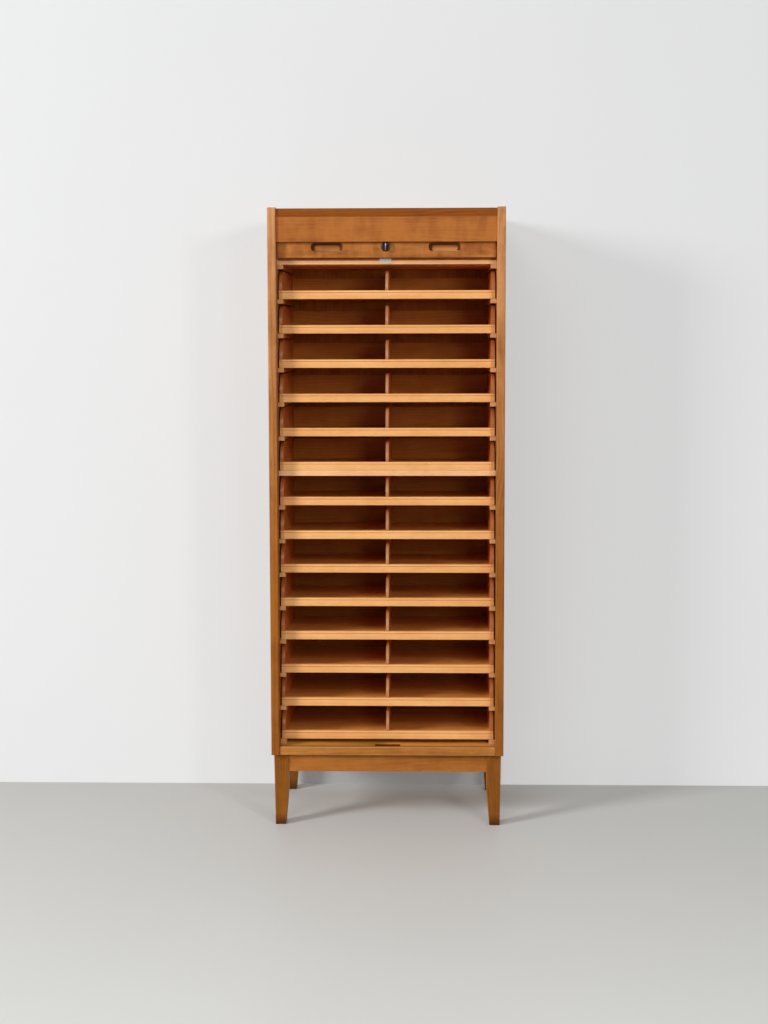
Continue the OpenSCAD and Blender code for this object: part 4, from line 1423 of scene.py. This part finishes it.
@dataclass
class Door:
    """The handle rail with its finger pulls, and the lock."""

    pull_x: float = 0.139
    pull_w: float = 0.075
    pull_h: float = 0.022
    pull_r: float = 0.009
    pull_deep: float = 0.009
    pull_rise: float = 0.0012
    pull_narrow: float = 0.004     # how much smaller the corners' radius is at the bottom of a pull
    pull_steps: int = 8            # how many sides round off a corner of a pull
    pull_slopes: tuple[float, float, float] = (0.0075, 0.0058, 0.002)
    lock_rise: float = 0.0019
    lock_x: float = -0.002
    tongue: tuple[float, float] = (0.0245, 0.0315)
    side_gap_half: float = 0.258
    rail: tuple[float, float] = (0.020, 0.036)
    rail_ease: float = 0.0011
    key_ease: float = 0.0004
    bolt_ease: float = 0.0003
    rosette_r: float = 0.0115
    rosette_t: float = 0.0016
    # The dome of the rosette, outwards: distances in from its rim, and back from its front.
    dome: tuple[Point2, ...] = ((0.0030, 0.0), (0.0012, 0.00025), (0.0003, 0.0008), (0.0, 0.0013))
    barrel_r: float = 0.0090
    bore_r: float = 0.00656
    bore_ease: float = 0.0003
    bore_gap: float = 0.00005
    bore_steps: int = 48
    ring_steps: int = 64
    case_gap: float = 0.0001
    bolt_gap: float = 0.0004
    proud: float = 0.002           # how far a cutter stands out of what it cuts
    overlap: float = 0.001

    def build(self) -> None:
        """Makes the rail and the lock."""
        self.handle_rail()
        self.cylinder()
        dress("lock_case", NICKEL)
        dress("lock_plug", PLUG)
        eased_copy("lock_key", KEY, self.key_ease)
        board("lock_bolt", NICKEL, self.bolt_ease)

    def pull_outline(self, x: float, z: float, inward: float) -> list[Point2]:
        """Draws a finger pull, whose walls slope in.

        Args:
            x: Its middle across the rail.
            z: Its middle height.
            inward: How far in the outline lies, from 0 at the face to 1 at the bottom of the pull.

        Returns:
            The outline as (x, z).
        """
        points: list[Point2] = []
        side, top, sole = (inward * slope for slope in self.pull_slopes)
        radius = self.pull_r - self.pull_narrow * inward
        reach = (self.pull_w / 2 - side - radius, self.pull_h / 2 - (top + sole) / 2 - radius)
        for i, (sx, sz) in enumerate(((1, 1), (-1, 1), (-1, -1), (1, -1))):
            points += circle_points((x + sx * reach[0], z - (top - sole) / 2 + sz * reach[1]), radius,
                                    90 * i, 90 * i + 90, self.pull_steps)
        return points

    def handle_rail(self) -> None:
        """Makes the rail, with its two finger pulls and the mortise for the lock."""
        low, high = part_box("handle_rail")
        end, half = high.x, self.side_gap_half
        front, back = self.rail
        plan = [(-half, front), (half, front), (half, self.tongue[0]), (end, self.tongue[0]),
                (end, self.tongue[1]), (half, self.tongue[1]), (half, back), (-half, back),
                (-half, self.tongue[1]), (-end, self.tongue[1]), (-end, self.tongue[0]),
                (-half, self.tongue[0])]
        rail = Joinery("rail_block").prism(plan, Axis.Z, low.z, high.z, RAIL).piece()
        middle = (low.z + high.z) / 2
        for side in (-1, 1):
            x, z = self.lock_x + side * self.pull_x, middle + self.pull_rise
            outer, inner = (self.pull_outline(x, z, inward)
                            for inward in (-self.proud / self.pull_deep, 1.0))
            # The underside, from halfway round the third corner to halfway round the fourth, takes the floor
            # finish; the other walls take the dark painted shade.
            sole = range(5 * len(outer) // 8, 7 * len(outer) // 8)
            self._cut(rail, Joinery("pull").prism(
                outer, Axis.Y, front - self.proud, front + self.pull_deep, PULL_FLOOR,
                {i: PULL for i in range(len(outer)) if i not in sole}, inner))
        freeze(softened(rail, self.rail_ease, 3))
        case_low, case_high = cad_corners("lock_case")
        gap = self.case_gap
        self._cut(rail, Joinery("mortise").plank(
            [step - gap for step in case_low],
            (case_high[0] + gap, back + self.proud, case_high[2] + gap), RAIL))
        bore = circle_points((self.lock_x, middle + self.lock_rise), self.barrel_r + self.bore_gap,
                             0, 360 - 360 / self.bore_steps, self.bore_steps - 1)
        self._cut(rail, Joinery("bore").prism(bore, Axis.Y, front - self.proud, back, RAIL))
        bolt_low, bolt_high = cad_corners("lock_bolt")
        gap = self.bolt_gap
        self._cut(rail, Joinery("channel").plank(
            (bolt_low[0] - gap, bolt_low[1] - gap, low.z - self.proud),
            (bolt_high[0] + gap, back + self.proud, case_low[2] + self.overlap), RAIL))
        piece = link("handle_rail_eased", rail.data)
        bpy.data.objects.remove(rail)
        settle(piece, "handle_rail")

    @staticmethod
    def _cut(target: bpy.types.Object, cutter: Joinery) -> None:
        """Cuts one solid out of another.

        Args:
            target: The object that is cut.
            cutter: The solid that is taken away.
        """
        tool = link("cutter", cutter.mesh())
        cut = target.modifiers.new("cut", "BOOLEAN")
        cut.object = tool
        cut.operation = "DIFFERENCE"
        cut.solver = "EXACT"
        cut.material_mode = "TRANSFER"
        freeze(target)
        bpy.data.objects.remove(tool)

    def cylinder(self) -> None:
        """Turns the lock's cylinder with its domed rosette."""
        low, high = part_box("lock_cylinder")
        z = (low.z + high.z) / 2
        front, back = low.y, high.y
        flange = self.rosette_t
        profile = [(self.bore_r, front + self.bore_ease), (self.bore_r + self.bore_ease, front)]
        profile += [(self.rosette_r - inset, front + drop) for inset, drop in self.dome]
        profile += [(self.rosette_r, front + flange), (self.barrel_r, front + flange), (self.barrel_r, back),
                    (self.bore_r, back)]
        steps, count = self.ring_steps, len(profile)
        angles = [2 * math.pi * i / steps for i in range(steps)]
        verts = [(self.lock_x + r * math.cos(a), y, z + r * math.sin(a)) for a in angles for r, y in profile]
        faces = [(i * count + j, i * count + (j + 1) % count, ((i + 1) % steps) * count + (j + 1) % count,
                  ((i + 1) % steps) * count + j) for i in range(steps) for j in range(count)]
        mesh = bpy.data.meshes.new("lock_cylinder_turned")
        mesh.from_pydata(verts, [], faces)
        mesh.materials.append(NICKEL.material())
        turn_outwards(mesh)
        settle(softened(link("lock_cylinder_turned", mesh)), "lock_cylinder")


# ---------------------------------------------------------------- trays

@dataclass
class Tray:
    """One pull-out tray: a lip, two sides, a divider, a back and a bottom."""

    number: int
    front: float = 0.038
    rear: float = 0.360
    half: float = 0.257
    side: float = 0.008
    side_h: float = 0.067
    ease: float = 0.0005
    foot_ease: float = 0.0006
    lip_h: float = 0.020
    lip_t: float = 0.012
    lip_ease: float = 0.0009
    score_drop: float = 0.005
    score_w: float = 0.001
    score_mouth: float = 0.6       # half of the score's height at the face, as a share of its depth
    score_floor: float = 0.3       # and at its bottom
    divider: float = 0.007
    back_t: float = 0.008
    back_h: float = 0.060
    bottom_z: float = 0.004
    bottom_t: float = 0.004
    let_in: float = 0.004
    glue: float = 0.00005
    steps: int = 28

    @property
    def name(self) -> str:
        """The tray's name."""
        return f"tray_{self.number:02d}"

    def build(self) -> None:
        """Makes the tray's box and its lip."""
        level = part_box(f"{self.name}_box")[0].z
        self.box(level)
        self.lip(level)

    def _face(self, level: float, rise: float, ease: float) -> list[Point2]:
        """Draws the scored front from its foot to the top of the lip.

        Args:
            level: Height of the tray's underside.
            rise: Height of the front above it.
            ease: Softening at the foot and at the top.

        Returns:
            The points from the foot upwards, as (depth, z).
        """
        front, line = self.front, level + self.lip_h - self.score_drop
        mouth, floor = self.score_w * self.score_mouth, self.score_w * self.score_floor
        return [(front + ease, level), (front + BULGE * ease, level + BULGE * ease), (front, level + ease),
                (front, line - mouth), (front + self.score_w, line - floor),
                (front + self.score_w, line + floor), (front, line + mouth),
                (front, level + rise - ease), (front + BULGE * ease, level + rise - BULGE * ease)]

    def _round(self, level: float, start: float) -> list[Point2]:
        """Draws the quarter round from the lip back to the top edge of a side.

        Args:
            level: Height of the tray's underside.
            start: The angle that it starts from, in degrees.

        Returns:
            The points, as (depth, z).
        """
        radius = self.side_h - self.lip_h
        return circle_points((self.front + radius, level + self.lip_h), radius, start, 90, self.steps)

    def box(self, level: float) -> None:
        """Makes the sides, the divider, the back and the bottom.

        Args:
            level: Height of the tray's underside.
        """
        joinery = Joinery(f"{self.name}_box_eased")
        inner, lip_top, side_top = self.half - self.side, level + self.lip_h, level + self.side_h
        outline = self._face(level, self.lip_h, self.foot_ease)[:-2] + self._round(level, 180)
        outline += [(self.rear, side_top), (self.rear, level)]
        trim = {**{i: SIDE_FRONT for i in range(7)}, **SCORED}
        trim.update({7 + i: ROUND for i in range(self.steps + 1)})
        for start in (-self.half, inner):
            joinery.prism(outline, Axis.X, start, start + self.side, TRAY_SIDE, trim)
        floor = level + self.bottom_z + self.bottom_t
        cut = self.front + self.lip_t + self.glue
        end = self.rear - self.back_t - self.glue
        divider = [(cut, floor), (cut, lip_top + self.glue),
                   (self.front + self.foot_ease, lip_top + self.glue)]
        divider += self._round(level, 178) + [(end, side_top), (end, floor)]
        joinery.prism(divider, Axis.X, -self.divider / 2, self.divider / 2, TRAY_SIDE,
                      {2 + i: DIVIDER_EDGE for i in range(self.steps + 2)})
        joinery.plank((-inner + self.glue, self.rear - self.back_t, floor),
                      (inner - self.glue, self.rear, level + self.back_h), TRAY_BACK)
        joinery.plank((-inner, self.front + self.lip_t - self.let_in, floor - self.bottom_t),
                      (inner, self.rear, floor), TRAY_FLOOR)
        settle(joinery.piece(self.ease), f"{self.name}_box")

    def lip(self, level: float) -> None:
        """Makes the scored front lip.

        Args:
            level: Height of the tray's underside.
        """
        back, top = self.front + self.lip_t, level + self.lip_h
        outline = self._face(level, self.lip_h, self.lip_ease)
        outline += [(self.front + self.lip_ease, top), (back - self.ease, top), (back, top - self.ease),
                    (back, level)]
        inner = self.half - self.side - self.glue
        joinery = Joinery(f"{self.name}_lip_eased").prism(outline, Axis.X, -inner, inner, LIP, SCORED)
        settle(joinery.piece(), f"{self.name}_lip")


# ---------------------------------------------------------------- room

@dataclass(frozen=True)
class Lamp:
    """A soft square lamp that faces the cabinet."""

    name: str
    place: Point3
    size: float
    power: float
    glossy: bool = True      # whether polished faces mirror it
    aim: Point3 = (0, 0, 0.8)

    def hang(self) -> None:
        """Hangs the lamp."""
        data = bpy.data.lights.new(self.name, "AREA")
        data.shape = "SQUARE"
        data.size = self.size
        data.energy = self.power
        made = link(self.name, data)
        made.visible_glossy = self.glossy
        turn = (Vector(self.aim) - Vector(self.place)).to_track_quat("-Z", "Y")
        made.matrix_world = Matrix.Translation(self.place) @ turn.to_matrix().to_4x4()


LAMPS = (Lamp("left lamp", (-4.2, -3.4, 2.45), 1.2, 185.0), Lamp("right lamp", (1.75, -3.6, 1.96), 0.4, 27.0),
         Lamp("upper lamp", (-0.8, -3.4, 3.3), 1.6, 38.0),
         Lamp("front lamp", (1.4, -5.2, 1.6), 0.8, 25.0, glossy=False))


@dataclass
class Room:
    """The camera, the pale floor, the wall behind, four soft lamps and the light of the sky."""

    eye: Point3 = (0.10636, -4.26088, 1.16388)
    pitch: float = 0.0974
    turn: float = -0.0278
    roll: float = -0.0019
    sensor: float = 36.0
    focus: float = 1715.3 / 1024     # focal length, as a share of the sensor
    sight: float = 60.0
    reach: float = 9.0
    floor_tint: Colour = (221, 222, 219)
    floor_rough: float = 0.55
    floor_dark: Colour = (70, 70, 69)
    floor_reach: float = 1.5         # beyond this, the floor throws little light back
    floor_glow: float = 0.02
    wall_y: float = 0.209
    wall_top: float = 6.0
    wall_tint: Colour = (168, 169, 170)
    wall_rough: float = 0.9
    wall_glow: float = 0.425
    wall_shade: float = 0.3          # the share of the glow that is left under the cabinet, as a painted shade behind its base
    shade_x: tuple[float, float] = (0.24, 0.30)
    shade_z: tuple[float, float] = (0.12, 0.24)
    cloud: float = 0.965
    sky: float = 0.11
    sky_rise: float = 0.12
    sky_rear: float = 0.3
    sky_tint: tuple[float, float, float, float] = (1, 0.985, 0.965, 1)
    background: Colour = (232, 234, 235)

    def build(self) -> None:
        """Sets up the room."""
        self.camera()
        self.floor()
        self.wall()
        for lamp in LAMPS:
            lamp.hang()
        self.world()
        bpy.context.scene.view_settings.view_transform = "Standard"

    def camera(self) -> None:
        """Places the camera by its measured pitch, turn and roll."""
        data = bpy.data.cameras.new("camera")
        data.sensor_width = self.sensor
        data.lens = self.focus * self.sensor
        data.clip_end = self.sight
        made = link("camera", data)
        flat, down = math.cos(self.pitch), -math.sin(self.pitch)
        ahead = Vector((math.sin(self.turn) * flat, math.cos(self.turn) * flat, down))
        right = Vector((math.cos(self.turn), -math.sin(self.turn), 0))
        up, lean, upright = right.cross(ahead), math.sin(self.roll), math.cos(self.roll)
        right, up = right * upright + up * lean, up * upright - right * lean
        made.matrix_world = Matrix.Translation(self.eye) @ Matrix((right, up, -ahead)).transposed().to_4x4()
        bpy.context.scene.camera = made

    def _plain(self, name: str, tint: Colour, rough: float, glow: float,
               shaded: bool = False) -> tuple[bpy.types.Material, Graph, bpy.types.Node]:
        """Makes a plain matt paint with faint clouding.

        Args:
            name: The material's name.
            tint: Its colour.
            rough: Its roughness.
            glow: How much paler it looks than it is lit.
            shaded: Whether it glows less under the cabinet, as a painted shade behind the base.

        Returns:
            The material, its graph and its surface node.
        """
        material, graph, surface = new_material(name)
        cloud = graph.noise(graph.place(), 1.1, 3, 0.5)
        colour = linear(tint)
        shade = tuple(self.cloud * step for step in colour[:3]) + (1.0,)
        # Painted shade: the glow fades over the patch of wall behind the cabinet's base.
        clear: object = 1.0
        if shaded:
            x, _, z = graph.split(graph.place())
            clear = graph.math("MAXIMUM",
                               graph.spread(graph.math("ABSOLUTE", x), *self.shade_x, self.wall_shade),
                               graph.spread(z, *self.shade_z, self.wall_shade))
        share = graph.math("MULTIPLY", graph.math("MULTIPLY", graph.looked_at(), clear), glow)
        graph.feed(surface, {"Base Color": graph.tint(graph.spread(cloud, 0.3, 0.7), colour, shade),
                             "Emission Strength": share, "Emission Color": (1, 1, 1, 1), "Roughness": rough,
                             "Specular IOR Level": 0.2})
        return material, graph, surface

    @staticmethod
    def _sheet(name: str, corners: Sequence[Point3], material: bpy.types.Material) -> bpy.types.Object:
        """Lays a sheet between four corners, as a part of the stage.

        Args:
            name: The sheet's name.
            corners: Its corners.
            material: Its material.

        Returns:
            The sheet.
        """
        mesh = bpy.data.meshes.new(name)
        mesh.from_pydata(corners, [], [(0, 1, 2, 3)])
        mesh.materials.append(material)
        made = link(name, mesh)
        return made

    def floor(self) -> None:
        """Lays the floor."""
        far = self.reach
        material, graph, surface = self._plain("pale floor", self.floor_tint, self.floor_rough,
                                               self.floor_glow)
        beyond = graph.math("GREATER_THAN", -self.floor_reach, graph.split(graph.place())[1])
        bounced = graph.add("ShaderNodeLightPath").outputs["Is Diffuse Ray"]
        dark = graph.put("ShaderNodeBsdfDiffuse", {"Color": linear(self.floor_dark)})
        graph.mixed(graph.math("MULTIPLY", beyond, bounced), surface.outputs[0], dark, "Material Output")
        self._sheet("floor", [(-far, -far, 0), (far, -far, 0), (far, far, 0), (-far, far, 0)], material)

    def wall(self) -> None:
        """Stands the wall behind the cabinet, which can't be seen from its far side."""
        far, y, top = self.reach, self.wall_y, self.wall_top
        material, graph, surface = self._plain("pale wall", self.wall_tint, self.wall_rough, self.wall_glow,
                                               shaded=True)
        behind = graph.add("ShaderNodeNewGeometry").outputs["Backfacing"]
        graph.mixed(behind, surface.outputs[0], graph.put("ShaderNodeBsdfTransparent"), "Material Output")
        wall = self._sheet("wall", [(-far, y, 0), (far, y, 0), (far, y, top), (-far, y, top)], material)
        wall.visible_shadow = wall.visible_diffuse = wall.visible_glossy = False

    def world(self) -> None:
        """Fills the room with plain light, stronger from above and behind, and shows a pale background."""
        world = bpy.data.worlds.new("world")
        bpy.context.scene.world = world
        world.use_nodes = True
        graph = Graph(world.node_tree)
        _, rear, rise = graph.split(graph.place("Generated"))
        strength = graph.math("ADD", graph.spread(rise, 0.0, 1.0, self.sky, self.sky + self.sky_rise),
                              graph.spread(rear, 0.0, 1.0, 0.0, self.sky_rear))
        light = graph.put("ShaderNodeBackground", {"Color": self.sky_tint, "Strength": strength})
        sight = graph.put("ShaderNodeBackground", {"Color": linear(self.background), "Strength": 1.0})
        graph.mixed(graph.looked_at(), light, sight, "World Output")


def main() -> None:
    """Builds the cabinet and the room, in order."""
    logging.basicConfig(level=logging.INFO, format="%(name)s: %(message)s")
    Room().build()
    Carcass().build()
    Screws().build()
    Base().build()
    Curtain().build()
    Door().build()
    for number in range(1, Carcass.upper + Carcass.lower + 1):
        Tray(number).build()


if __name__ == "__main__":
    main()
